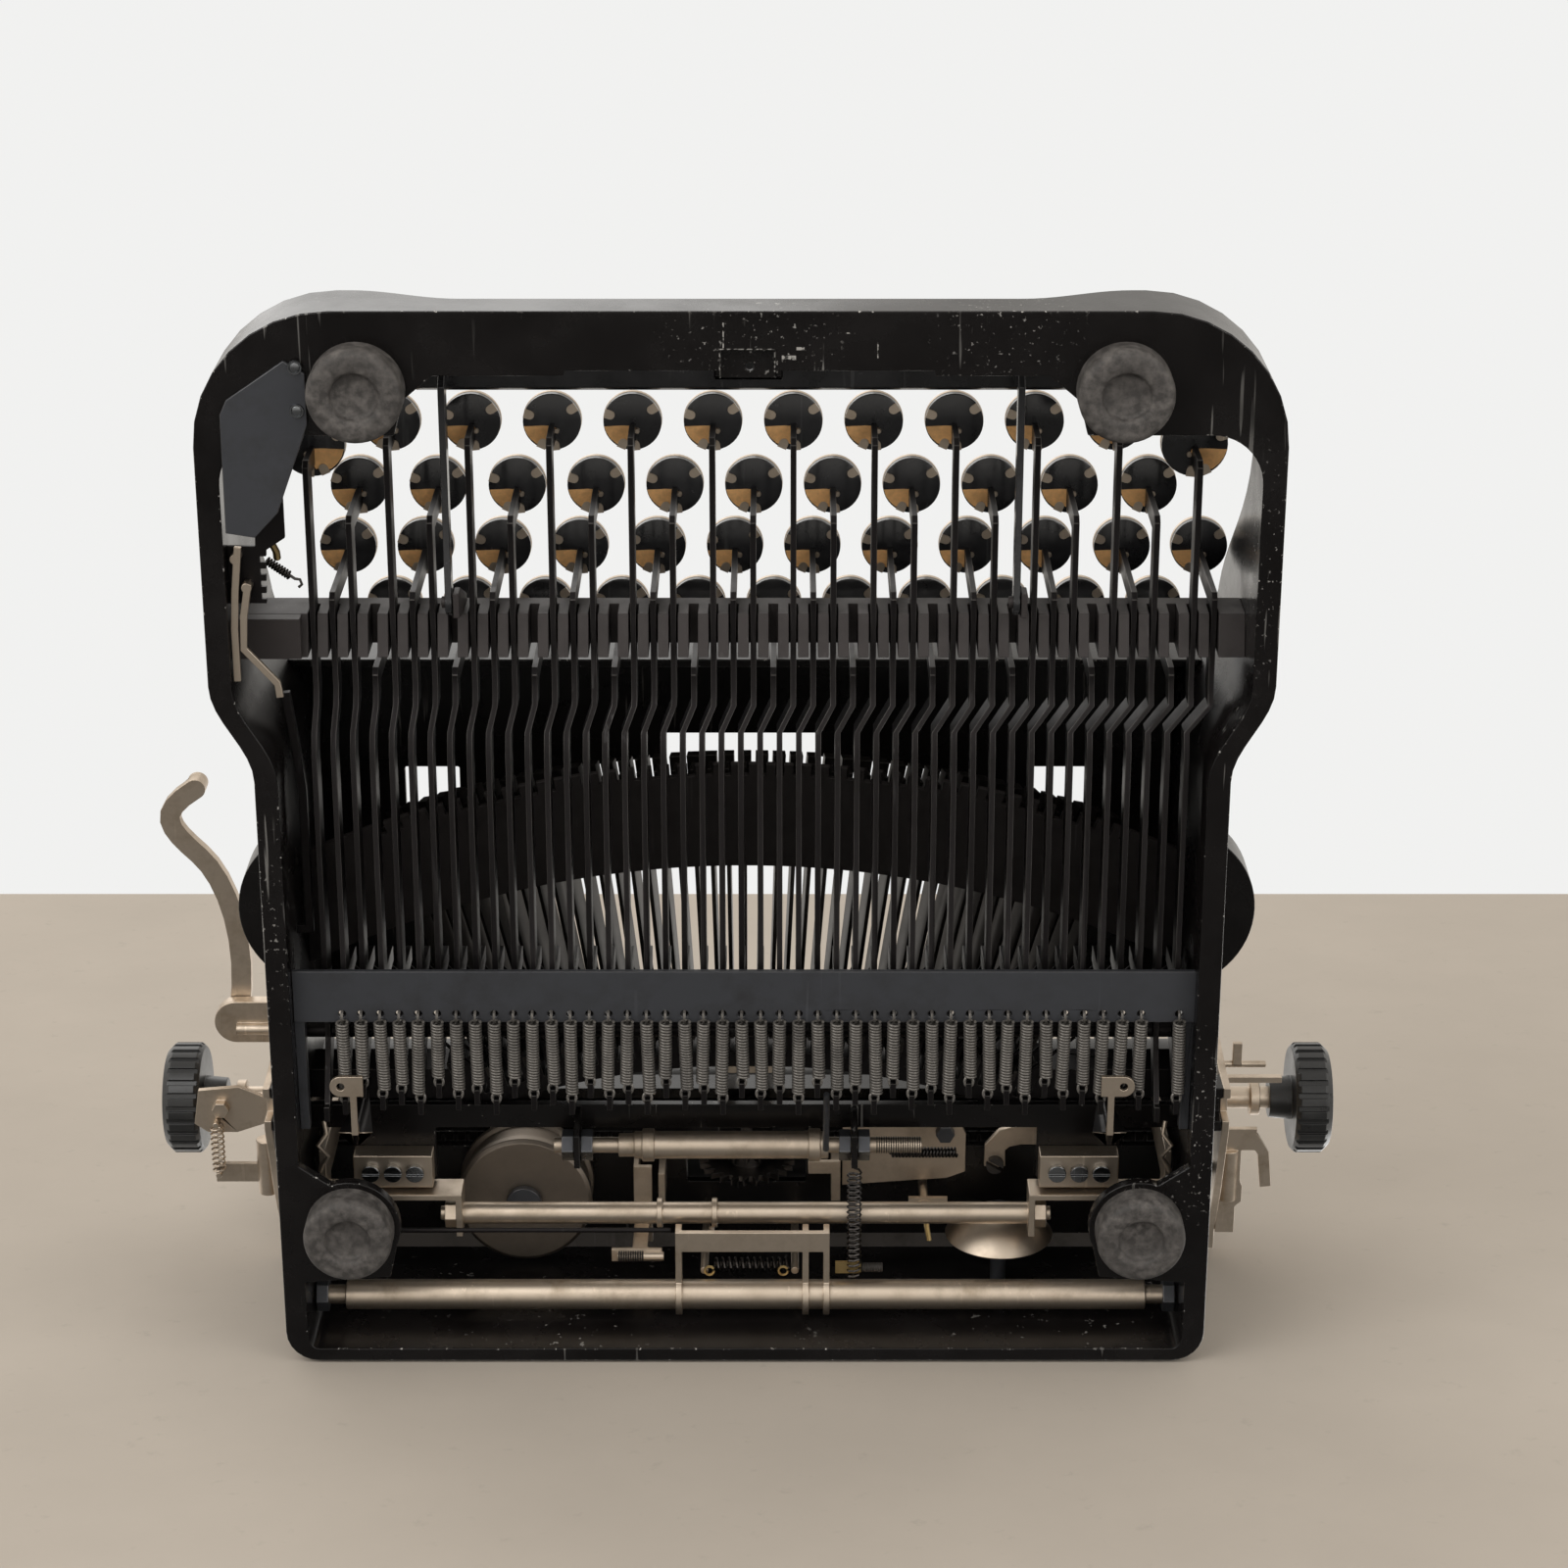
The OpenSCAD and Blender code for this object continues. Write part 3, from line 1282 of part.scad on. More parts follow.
// Bracket on the left end plate with the pin of the return lever and the rod of its pawl
module lever_bracket() {
    depth = 12;
    outer = -trim_x;
    pawl_r = 1.6;
    from_front() color("#c2bbad") {
        translate([return_pivot_x, return_pivot_y - depth / 2, return_h])
            cube([outer - return_pivot_x, depth, bracket_block_t]);
        translate([return_pivot_x, return_pivot_y, return_h]) {
            cylinder(r = depth / 2, h = bracket_block_t);
            cylinder(r = return_pin_r, h = bracket_block_t + return_t + 2);
        }
        rod_x(return_pivot_x, outer, return_pivot_y + pawl_r, return_h - pawl_r / 2, pawl_r);
    }
}

function bezier(p, t) =
    pow(1 - t, 3) * p[0] + 3 * t * pow(1 - t, 2) * p[1] + 3 * t * t * (1 - t) * p[2] + t * t * t * p[3];

// Lever that sweeps forward beside the spool cup, swings out and ends in a curled tip
module return_lever() {
    width = 5.4;
    arm = [[0, 0], [4, -22], [-1, -40], [-8, -47]];
    curl = [[-8, -47], [-16, -55], [-19, -59], [-8, -66]];
    steps = 8;
    path = concat(
        [for (i = [0:steps]) bezier(arm, i / steps)],
        [for (i = [1:steps]) bezier(curl, i / steps)]
    );
    from_front() color("#cfc8ba")
        translate([return_pivot_x, return_pivot_y, return_h + bracket_block_t + clear]) difference() {
            union() {
                cylinder(r = return_hub_r, h = return_t);
                linear_extrude(return_t) polygon(strip(path, width));
                translate([curl[3].x, curl[3].y, 0]) cylinder(r = width / 2, h = return_t + 3);
            }
            translate([0, 0, -1]) cylinder(r = return_pin_r + run_clear, h = return_t + 2);
        }
}

module spring_drum() {
    bore = drum_pin_r + run_clear;
    from_front() color("#8c8a86") translate([drum_x, drum_y, drum_h]) rotate_extrude() polygon([
        [bore, 0], [drum_r - 1, 0], [drum_r, 0.8], [drum_r, 3],
        [drum_r - 1.2, 3.6], [drum_r - 1.2, drum_len - 2.4],
        [drum_r, drum_len - 1.8], [drum_r, drum_len], [bore, drum_len]
    ]);
}

// Three legs on the rear tube joined by a plate in front
module trip_bail() {
    eye = rear_tube_r + 1.4;
    plate_h = rear_tube_h - 2.5;
    from_front() color("#b9b1a2") difference() {
        union() {
            for (x = trip_x) along_x(x, trip_t) {
                translate([rear_tube_y, rear_tube_h]) circle(r = eye);
                translate([rear_tube_y - trip_reach, plate_h]) square([trip_reach, 5]);
            }
            translate([trip_x[0] - trip_t / 2, rear_tube_y - trip_reach, plate_h])
                cube([trip_x[2] - trip_x[0] + trip_t, trip_plate_w, trip_t]);
        }
        rod_x(trip_x[0] - 5, trip_x[2] + 5, rear_tube_y, rear_tube_h, rear_tube_r + run_clear);
    }
}

// Links along the left wall, the wire above the left rear foot and the two tabs below the springs
module side_links() {
    wall = -inner_rear;
    front_wall = -inner_front;
    link_w = 2;
    strip_w = 1.7;
    strip_h = 2;
    plate_h = 6;
    sheet_t = 1.2;
    tab_r = 2.7;
    tab_len = 5.5;
    tab_h = spring_axis_h - spring_r - sheet_t - 0.6;
    tab_y = fulcrum_y + 8.2;
    hanger_y = segment_arm_y + 2.7;
    hanger_r = 0.8;
    wire_h = bail_h - 1;
    wire_y = rear_foot_y + 10;
    post_x = -rear_foot_x + 8;
    claw = [front_wall + 2.2, front_wall + 4.5];
    claw_y = [comb_y - 19, comb_y - 12];
    from_front() {
        color("#5a5a5c") translate([0, 0, fulcrum_h]) linear_extrude(link_w) {
            polygon(strip([
                [wall + 0.7, comb_y + 19], [wall + 2.5, comb_y + 33],
                [wall + 3.5, comb_y + 44], [wall + 3.5, fulcrum_y - 26]
            ], link_w));
            translate([wall + clear, fulcrum_y - 28]) square([4, link_w]);
        }
        color("#6d5a4a") translate([0, 0, plate_h]) linear_extrude(sheet_t) difference() {
            polygon([
                [front_wall, comb_y - 21], [front_wall + 6.5, comb_y - 21], [front_wall + 7, comb_y - 33],
                [front_wall + 13.5, comb_y - 33], [front_wall + 13.5, comb_y - 23], [front_wall + 9, comb_y - 20],
                [front_wall + 8.5, comb_y - 7], [front_wall, comb_y - 7]
            ]);
            for (k = [0:3]) translate([front_wall + 7.4, comb_y - 18.5 + 3 * k]) square([3, 1.4]);
        }
        color("#c2bbad") {
            translate([0, 0, strip_h]) linear_extrude(sheet_t) {
                polygon(strip([
                    [claw[0] + 0.8, claw_y[0] - 3], [claw[0] - 0.4, claw_y[0] + 8],
                    [front_wall + 1.2, comb_y - 2], [front_wall + 1.2, comb_y + 11]
                ], strip_w));
                polygon(strip([
                    [claw[1] + 0.4, claw_y[1] - 1], [claw[1] - 1, claw_y[1] + 7], [claw[1] - 1.4, comb_y + 3],
                    [claw[1] + 6, comb_y + 11.5], [claw[1] + 6.5, comb_y + 15]
                ], strip_w));
            }
            for (k = [0, 1])
                translate([claw[k], claw_y[k], strip_h]) cylinder(r = 1.2, h = plate_h - strip_h);
            for (side = [-1, 1]) {
                hanger_x = side < 0 ? (rear_x(0) + rear_x(1)) / 2 : (rear_x(40) + rear_x(41)) / 2;
                translate([hanger_x, 0, tab_h]) {
                    linear_extrude(sheet_t) difference() {
                        union() {
                            translate([side * 3, tab_y]) circle(r = tab_r);
                            translate([side < 0 ? -3 : 3 - tab_len, tab_y - tab_r]) square([tab_len, 2 * tab_r]);
                            translate([-hanger_r, tab_y]) square([2 * hanger_r, hanger_y + hanger_r - tab_y]);
                        }
                        translate([side * 3, tab_y]) circle(r = 1);
                    }
                    translate([0, hanger_y, 0]) cylinder(r = hanger_r, h = pivot_h - segment_drop - tab_h);
                }
            }
        }
        color("#8f8a80") {
            translate([post_x, wire_y, flange_t]) cylinder(r = 1, h = wire_h - flange_t);
            rod_x(post_x, trip_x[0] - 2, wire_y, wire_h - 1, 0.6);
        }
    }
}

// Line-space plate, spring and link at the left end, toothed release plate and bar at the right end
module carriage_trim() {
    spring_len = 15;
    spring = coil_line(spring_len);
    spring_x = -trim_x - 15;
    spring_y = platen_y - 3;
    from_front() color("#c2bbad") {
        translate([0, 0, trim_h]) linear_extrude(trim_t) {
            polygon([
                [-trim_x, platen_y - 8], [-trim_x - 9, platen_y - 12], [-trim_x - 20, platen_y - 11],
                [-trim_x - 21.5, platen_y - 1], [-trim_x - 18, platen_y + 1.5], [-trim_x - 10, platen_y + 1.5],
                [-trim_x, platen_y - 2]
            ]);
            translate([-trim_x - 16.5, platen_y + 11]) square([16.5, 5.5]);
            polygon([
                [trim_x, platen_y + 0.5], [trim_x + 10, platen_y + 0.5], [trim_x + 10, platen_y + 7],
                [trim_x + 6, platen_y + 7], [trim_x + 6, platen_y + 16], [trim_x + 6.7, platen_y + 18],
                [trim_x + 6.7, platen_y + 22.5], [trim_x + 5, platen_y + 24], [trim_x + 5, platen_y + 32],
                [trim_x, platen_y + 32]
            ]);
            polygon(strip([
                [trim_x + 9, platen_y + 3], [trim_x + 12, platen_y + 8], [trim_x + 13, platen_y + 18]
            ], 3));
        }
        translate([-trim_x - 14, platen_y - 6, trim_h - 2.4]) cylinder(r = 2.4, h = 2.4, $fn = 6);
        translate([spring_x, spring_y, trim_h - 2 * coil_r]) rotate([-90, 0, 0]) rotate([0, 0, -90])
            tube_along(spring, coil_wire_r);
        for (y = [spring_y, spring_y + spring_len])
            translate([spring_x, y, trim_h - 3 * coil_r]) cylinder(r = 0.8, h = 3 * coil_r);
        rod_y(platen_y + 4, platen_y + 20, -trim_x - 2.8, trim_h + 1, 2.6);
        rod_y(platen_y + 7, platen_y + 22, trim_x + 2.8, trim_h + 1, 2.6);
        translate([trim_x, platen_y - 13, trim_h + 4]) cube([16.5, 1.8, 2]);
        rod_x(trim_x, trim_x + 12, platen_y - 16.5, trim_h + 5, 0.9);
        translate([trim_x + 3, platen_y - 23, trim_h + 4]) cube([2.4, 6.5, 1.4]);
    }
}

// Bolted plate, curved arm, side frames with a flag and two spring pins, all hung from the shelf
module escapement_frame() {
    hang = shelf_h - mount_h;
    frame_h = 38;
    flag_h = 24;
    arm = [
        [64.6, shelf_y + 2.5], [64.6, shelf_y - 3], [67, shelf_y - 5.6], [71, shelf_y - 6.6], [84, shelf_y - 6.6]
    ];
    from_front() color("#b9b1a2") {
        translate([0, 0, mount_h]) {
            linear_extrude(mount_t) difference() {
                polygon([
                    [25, shelf_y - 13], [50, shelf_y - 13], [55, shelf_y - 11], [57, shelf_y - 7],
                    [57, shelf_y + 4], [52, shelf_y + 6], [25, shelf_y + 8]
                ]);
                translate([30, shelf_y - 6]) circle(r = 1.6);
            }
            linear_extrude(mount_t) polygon(strip(arm, 5.6));
            for (x = [28, 50, arm[0].x])
                translate([x, shelf_y + 2, mount_t]) cylinder(r = 2, h = hang - mount_t);
        }
        translate([-29.2, shelf_y, frame_h]) cube([4.8, 22, 1.4]);
        translate([-29.2, shelf_y, frame_h]) cube([1.4, 22, shelf_h - frame_h]);
        translate([-22.8, shelf_y + 2, frame_h]) cube([1.8, 9, shelf_h - frame_h]);
        translate([22, shelf_y, frame_h]) cube([2.4, 10, shelf_h - frame_h]);
        translate([16, shelf_y - 1.5, frame_h]) cube([8.4, 3.6, 1.4]);
        translate([-34.5, shelf_y + 16.4, flag_h]) cube([13, 3.6, 1.2]);
        translate([-29.2, shelf_y + 16.4, flag_h]) cube([4, 1.2, frame_h - flag_h]);
        rod_x(-33, -21, shelf_y + 18.2, flag_h - 0.4, 1.2);
        for (x = pin_x) translate([x, pin_y, pin_h]) cylinder(r = pin_r, h = shelf_h - pin_h);
        rod_between([(rear_x(25) + rear_x(26)) / 2, fulcrum_y + 13, flag_h - 18],
            [(rear_x(25) + rear_x(26)) / 2, universal_y - 1, universal_h - universal_r - 1], 0.8);
    }
}

base_frame();
feet();
front_gusset_plate();
top_deck();
key_comb();
spring_plate();
fulcrum_shaft();
key_springs();
segment();
segment_wire();
typebars();
typebar_rest();
type_guide();
spool_cups();
rear_tube();
universal_tube();
bed_plate();
screw_blocks();
fasteners();
rear_shelf();
bell();
coil_springs();
lever_row(0);  // row_1_levers
key_row(0);  // row_1_keys
lever_row(1);  // row_2_levers
key_row(1);  // row_2_keys
lever_row(2);  // row_3_levers
key_row(2);  // row_3_keys
lever_row(3);  // row_4_levers
key_row(3);  // row_4_keys
centre_lever();
centre_key();
centre_typebar();
space_bar();
left_shift();
right_shift();
shift_rail();
shift_bail();
escape_wheel();
carriage_channel();
left_end_plate();
right_end_plate();
margin_bar();
paper_table();
escapement_rack();
platen_roller();
platen_shaft();
platen_knobs();
ratchet_wheel();
front_feed_roller();
rear_feed_roller();
lever_bracket();
return_lever();
spring_drum();
left_spool();
right_spool();
trip_bail();
side_links();
carriage_trim();
escapement_frame();
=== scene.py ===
"""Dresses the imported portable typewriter: rounded and worn solids, key tops, coiled springs,
screws and finishes, with a plain stage and a camera that looks at the open underside."""

import json
import math
import random

import bmesh
import bpy
from mathutils import Matrix, Vector

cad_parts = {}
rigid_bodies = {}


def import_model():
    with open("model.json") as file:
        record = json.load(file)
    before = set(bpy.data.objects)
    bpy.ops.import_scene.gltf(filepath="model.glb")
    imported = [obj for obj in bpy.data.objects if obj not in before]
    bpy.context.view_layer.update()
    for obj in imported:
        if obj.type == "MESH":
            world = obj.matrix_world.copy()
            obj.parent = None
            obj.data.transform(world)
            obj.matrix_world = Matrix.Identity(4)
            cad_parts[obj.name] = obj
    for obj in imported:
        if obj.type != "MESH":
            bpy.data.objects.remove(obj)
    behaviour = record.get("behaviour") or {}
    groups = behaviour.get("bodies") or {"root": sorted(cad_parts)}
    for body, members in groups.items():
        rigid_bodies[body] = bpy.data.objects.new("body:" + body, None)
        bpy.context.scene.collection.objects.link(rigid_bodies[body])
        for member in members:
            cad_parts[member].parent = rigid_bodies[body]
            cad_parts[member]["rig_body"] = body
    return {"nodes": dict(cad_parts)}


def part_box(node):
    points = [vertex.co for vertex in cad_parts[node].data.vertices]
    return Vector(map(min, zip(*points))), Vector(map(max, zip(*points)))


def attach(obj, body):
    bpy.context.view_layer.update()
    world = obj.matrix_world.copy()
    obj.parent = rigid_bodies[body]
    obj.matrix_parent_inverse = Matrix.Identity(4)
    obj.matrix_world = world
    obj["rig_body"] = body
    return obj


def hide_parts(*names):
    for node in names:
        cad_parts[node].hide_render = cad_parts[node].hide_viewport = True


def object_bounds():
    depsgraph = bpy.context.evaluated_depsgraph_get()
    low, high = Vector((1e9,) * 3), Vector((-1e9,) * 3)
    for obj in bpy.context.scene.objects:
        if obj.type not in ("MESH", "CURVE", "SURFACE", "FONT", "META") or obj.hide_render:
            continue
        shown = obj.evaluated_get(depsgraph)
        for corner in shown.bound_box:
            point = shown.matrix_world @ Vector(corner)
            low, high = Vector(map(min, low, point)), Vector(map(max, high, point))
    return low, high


bl_info = {
    "name": "Portable Typewriter Dress",
    "version": (1, 0, 0),
    "blender": (4, 5, 0),
    "location": "View3D > Sidebar > Typewriter",
    "description": "Finishes and fine pieces for the packed portable typewriter",
    "category": "Object",
}

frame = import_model()
CAD_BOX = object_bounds()
NODES = frame["nodes"]
MM = 0.001
FRONT_EDGE = CAD_BOX[0].y
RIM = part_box("feet")[1].z


def place(x, y, h):
    """Point in the row frame from millimetres right of the middle, behind the front edge, above the rim."""
    return Vector((x * MM, FRONT_EDGE + y * MM, RIM + h * MM))


def measure(point):
    """The millimetres that place() turns into a point."""
    return point.x / MM, (point.y - FRONT_EDGE) / MM, (point.z - RIM) / MM


# Keyboard rules, in millimetres: levers at a quarter of the key pitch, rows interleaved
KEY_PITCH = 19.05
KEYBOARD_X = 2.5
ROW_FIRST_SLOT = (3, 1, 0, 2)
ROW_COUNT = (10, 11, 12, 11)
ROW_Y, ROW_STEP_Y = 35, 19
ROW_H, ROW_STEP_H = 32, 11
CENTRE_ROW, CENTRE_SLOT = 1, 21
SHIFT_SLOTS = {"left_shift": -1, "right_shift": 43}
SHIFT_KEY_Y, SHIFT_KEY_H = 40.5, 32
REAR_SPREAD, REAR_SHIFT = 0.975, -3


def slot_x(slot):
    """The middle of a key and its lever in the comb."""
    return KEYBOARD_X + (slot - CENTRE_SLOT) * KEY_PITCH / 4


def rear_x(slot):
    """Where the lever of a slot ends, since the levers draw together towards the back."""
    return slot_x(slot) * REAR_SPREAD + REAR_SHIFT


def row_slots(row):
    """The slots of a row, every fourth one."""
    return [ROW_FIRST_SLOT[row] + 4 * k for k in range(ROW_COUNT[row])]


# Settings

def colour_setting(name, description, default):
    return bpy.props.FloatVectorProperty(
        name=name, description=description, subtype="COLOR", size=3, default=default, min=0, max=1)


def length_setting(name, description, millimetres):
    return bpy.props.FloatProperty(
        name=name, description=description, default=millimetres * MM, unit="LENGTH")


class FinishSettings(bpy.types.PropertyGroup):
    """Colours of the finishes."""

    japan: colour_setting("Black japan", "Baked enamel of the casting", (0.0038, 0.0031, 0.0030))
    bare_iron: colour_setting("Bare iron", "Metal where the enamel has worn off", (0.50, 0.48, 0.45))
    nickel: colour_setting("Aged nickel", "Plating of tubes, plates and rings", (0.58, 0.49, 0.395))
    tarnish: colour_setting("Tarnish", "Brown film on old plating", (0.31, 0.245, 0.175))
    dark_steel: colour_setting("Dark steel", "Oiled steel of the levers", (0.016, 0.014, 0.0145))
    type_steel: colour_setting("Type steel", "Plain steel of the toothed wheels", (0.115, 0.105, 0.098))
    blued_steel: colour_setting("Blued steel", "Blue-black plates and screws", (0.072, 0.075, 0.084))
    wire: colour_setting("Spring wire", "Drawn wire of the springs", (0.160, 0.148, 0.134))
    rubber: colour_setting("Foot rubber", "Worn rubber of the feet", (0.036, 0.032, 0.029))
    card: colour_setting("Key card", "Backing card under the key tops", (0.72, 0.40, 0.16))


class KeySettings(bpy.types.PropertyGroup):
    """Sizes of the key tops."""

    diameter: length_setting("Diameter", "Across the ring of a key", 14)
    shift_diameter: length_setting("Shift diameter", "Across the ring of a shift key", 16)


class SpringSettings(bpy.types.PropertyGroup):
    """Sizes of the key springs."""

    wire: length_setting("Wire radius", "Radius of the wire", 0.37)
    coil: length_setting("Coil radius", "Radius of the wire's centreline", 1.3)
    pitch: length_setting("Pitch", "Rise of one turn", 0.76)
    seed: bpy.props.IntProperty(
        name="Seed", description="Fixes the small differences between springs", default=7)


class StageSettings(bpy.types.PropertyGroup):
    """Floor, lamps and camera."""

    floor: colour_setting("Floor", "Colour of the floor", (0.62, 0.60, 0.57))
    backdrop: colour_setting("Backdrop", "Colour of the board behind the machine", (0.439, 0.388, 0.330))
    lens: bpy.props.FloatProperty(
        name="Lens", description="Focal length on a 36 mm sensor", default=82.8, unit="CAMERA")
    key_power: bpy.props.FloatProperty(
        name="Key lamp", description="Power of the largest lamp", default=9.0, unit="POWER")
    fill: bpy.props.FloatProperty(
        name="Sky", description="Strength of the even light", default=0.85, min=0)


def settings():
    return bpy.context.scene.typewriter


# Shading

MIX_INPUTS, MIX_RESULT = (0, 6, 7), 2
BLOTCH_ROUGHNESS = 0.62
SCRATCH_EDGE = 0.03
SCRATCH_PATCH = (0.50, 0.66)
# Turn and stretch of the noise behind each direction of scratches
SCRATCH_WAYS = (
    ((0.2, 0.1, 0.5), (1, 0.05, 1)),
    ((0.1, 0.3, -0.9), (1, 0.06, 1)),
    ((0, 0.2, 1.7), (1, 0.05, 1)),
)
DUST_UPWARD = (0.55, 1.0)
DUST_SPECKS = (0.42, 0.75)
ENAMEL_DUST = (0.16, 0.15, 0.14)
MOULDED_DUST = (0.20, 0.19, 0.175)
SCUFF_GREY = (0.10, 0.10, 0.10)


def give(tree, socket, value):
    """Sets a socket to a value, or links another socket to it."""
    if isinstance(value, bpy.types.NodeSocket):
        tree.links.new(value, socket)
    else:
        socket.default_value = value


def new_node(tree, kind, mode=None, **values):
    """A node with one option set, and its named sockets set to values or fed by other sockets."""
    node = tree.nodes.new(kind)
    if mode:
        setattr(node, *mode)
    for name, value in values.items():
        give(tree, node.inputs[name.replace("_", " ")], value)
    return node


def math_node(tree, operation, *values):
    node = new_node(tree, "ShaderNodeMath", ("operation", operation))
    for socket, value in zip(node.inputs, values):
        give(tree, socket, value)
    return node.outputs[0]


def times(tree, a, b):
    return math_node(tree, "MULTIPLY", a, b)


def highest(tree, masks):
    """The largest of any number of masks."""
    top = masks[0]
    for mask in masks[1:]:
        top = math_node(tree, "MAXIMUM", top, mask)
    return top


def ramp(tree, value, low, high, to_low=0.0, to_high=1.0):
    """A value carried from one range to another, and kept inside it."""
    return new_node(tree, "ShaderNodeMapRange", ("clamp", True), Value=value, From_Min=low, From_Max=high,
                    To_Min=to_low, To_Max=to_high).outputs[0]


def between(tree, mask, low, high):
    """A value between two ends, by a mask."""
    return ramp(tree, mask, 0.0, 1.0, low, high)


def mix_colour(tree, factor, a, b):
    node = new_node(tree, "ShaderNodeMix", ("data_type", "RGBA"))
    for index, value in zip(MIX_INPUTS, (factor, a, b)):
        as_is = index == MIX_INPUTS[0] or isinstance(value, bpy.types.NodeSocket)
        give(tree, node.inputs[index], value if as_is else (*value, 1))
    return node.outputs[MIX_RESULT]


def tone(colour, factor, lift=0.0):
    """A paler or darker colour."""
    return [min(1, c * factor + lift) for c in colour]


def object_point(tree, turn=(0, 0, 0), stretch=(1, 1, 1)):
    point = tree.nodes.new("ShaderNodeTexCoord").outputs["Object"]
    return new_node(tree, "ShaderNodeMapping", Vector=point, Rotation=turn, Scale=stretch).outputs[0]


def noise(tree, point, scale, detail, roughness=0.5):
    return new_node(tree, "ShaderNodeTexNoise", Vector=point, Scale=scale, Detail=detail,
                    Roughness=roughness).outputs[0]


def shader_group(name, inputs, outputs, build):
    """A shared shading effect: sockets from (name, default) pairs, nodes from build."""
    tree = bpy.data.node_groups.new(name, "ShaderNodeTree")
    for label, default in inputs:
        socket = tree.interface.new_socket(label, in_out="INPUT", socket_type="NodeSocketFloat")
        socket.default_value = default
    for label in outputs:
        tree.interface.new_socket(label, in_out="OUTPUT", socket_type="NodeSocketFloat")
    source = tree.nodes.new("NodeGroupInput")
    sink = tree.nodes.new("NodeGroupOutput")
    for label, socket in build(tree, source.outputs).items():
        tree.links.new(socket, sink.inputs[label])
    return tree


def build_blotches(tree, inputs):
    """Soft patches, with the height that makes them."""
    height = noise(tree, object_point(tree), inputs["Scale"], inputs["Detail"], BLOTCH_ROUGHNESS)
    return {"Mask": ramp(tree, height, inputs["Low"], inputs["High"]), "Height": height}


def build_scratches(tree, inputs):
    """Fine scratches in three directions, kept to patches."""
    patch = ramp(tree, noise(tree, object_point(tree), inputs["Patch scale"], detail=3.0), *SCRATCH_PATCH)
    full = math_node(tree, "ADD", inputs["Level"], SCRATCH_EDGE)
    lines = []
    for turn, stretch in SCRATCH_WAYS:
        streaks = noise(tree, object_point(tree, turn, stretch), inputs["Scale"], detail=2.0)
        lines.append(ramp(tree, streaks, inputs["Level"], full))
    return {"Mask": times(tree, highest(tree, lines), patch)}


def build_dust(tree, inputs):
    """Dust that settles on faces turned upwards."""
    normal = tree.nodes.new("ShaderNodeNewGeometry").outputs["Normal"]
    up = ramp(tree, new_node(tree, "ShaderNodeSeparateXYZ", Vector=normal).outputs["Z"], *DUST_UPWARD)
    speck = ramp(tree, noise(tree, object_point(tree), inputs["Scale"], detail=6.0), *DUST_SPECKS)
    return {"Mask": times(tree, times(tree, up, speck), inputs["Amount"])}


GROUPS = {
    "blotches": ([("Scale", 60.0), ("Detail", 6.0), ("Low", 0.45), ("High", 0.7)], ["Mask", "Height"],
                 build_blotches),
    "scratches": ([("Scale", 400.0), ("Level", 0.66), ("Patch scale", 18.0)], ["Mask"], build_scratches),
    "dust": ([("Scale", 300.0), ("Amount", 0.3)], ["Mask"], build_dust),
}


def effect(tree, name, **values):
    """Places a shared effect in a material with its own values."""
    group = bpy.data.node_groups.get(name) or shader_group(name, *GROUPS[name])
    return new_node(tree, "ShaderNodeGroup", ("node_tree", group), **values).outputs


def blank_material(name):
    material = bpy.data.materials.new(name)
    material.use_nodes = True
    tree = material.node_tree
    return material, tree, tree.nodes["Principled BSDF"]


def feed(tree, shader, colour, roughness, height, bump, depth=0.0002, metallic=0.0):
    """Connects a material's colour, roughness, fine relief and metal."""
    relief = new_node(tree, "ShaderNodeBump", Height=height, Strength=bump, Distance=depth).outputs[0]
    for label, value in (("Base Color", colour), ("Roughness", roughness), ("Normal", relief),
                         ("Metallic", metallic)):
        give(tree, shader.inputs[label], value)


def near(tree, spots):
    """Mask that falls off round each spot, given as a place and a reach in millimetres."""
    point = object_point(tree)
    masks = []
    for spot, reach in spots:
        distance = new_node(tree, "ShaderNodeVectorMath", ("operation", "DISTANCE"), Vector=point)
        distance.inputs[1].default_value = place(*spot)
        masks.append(ramp(tree, distance.outputs["Value"], 0.0, reach * MM, 1.0, 0.0))
    return highest(tree, masks)


def strokes(tree, marks):
    """Mask of straight scratches on the rim, each as its middle and half sizes in plan, in millimetres."""
    split = new_node(tree, "ShaderNodeSeparateXYZ", Vector=object_point(tree)).outputs
    masks = []
    for x, y, half_x, half_y in marks:
        middle = place(x, y, 0)
        sides = []
        for axis, centre, half in (("X", middle.x, half_x), ("Y", middle.y, half_y)):
            off = math_node(tree, "ABSOLUTE", math_node(tree, "SUBTRACT", split[axis], centre))
            sides.append(math_node(tree, "LESS_THAN", off, half * MM))
        masks.append(times(tree, *sides))
    return highest(tree, masks)


WORN_SPOTS = (((9, 8, 0), 16), ((15, 12, 0), 7), ((-10, 5, 0), 10), ((122, 62, 8), 34), ((-118, 150, 8), 30),
              ((112, 205, 4), 30), ((60, 2, 4), 20))
WORN_LINES = ((-3.9, 5.8, 0.14, 3.2), (-4.7, 12.6, 0.15, 3.8), (1.5, 8.8, 6.2, 0.17), (7.7, 11.8, 0.15, 3.0),
              (10.9, 10.7, 1.6, 0.5), (13.5, 8.6, 0.9, 0.35), (24, 5.0, 2.2, 0.12), (31, 9.0, 0.12, 1.8))


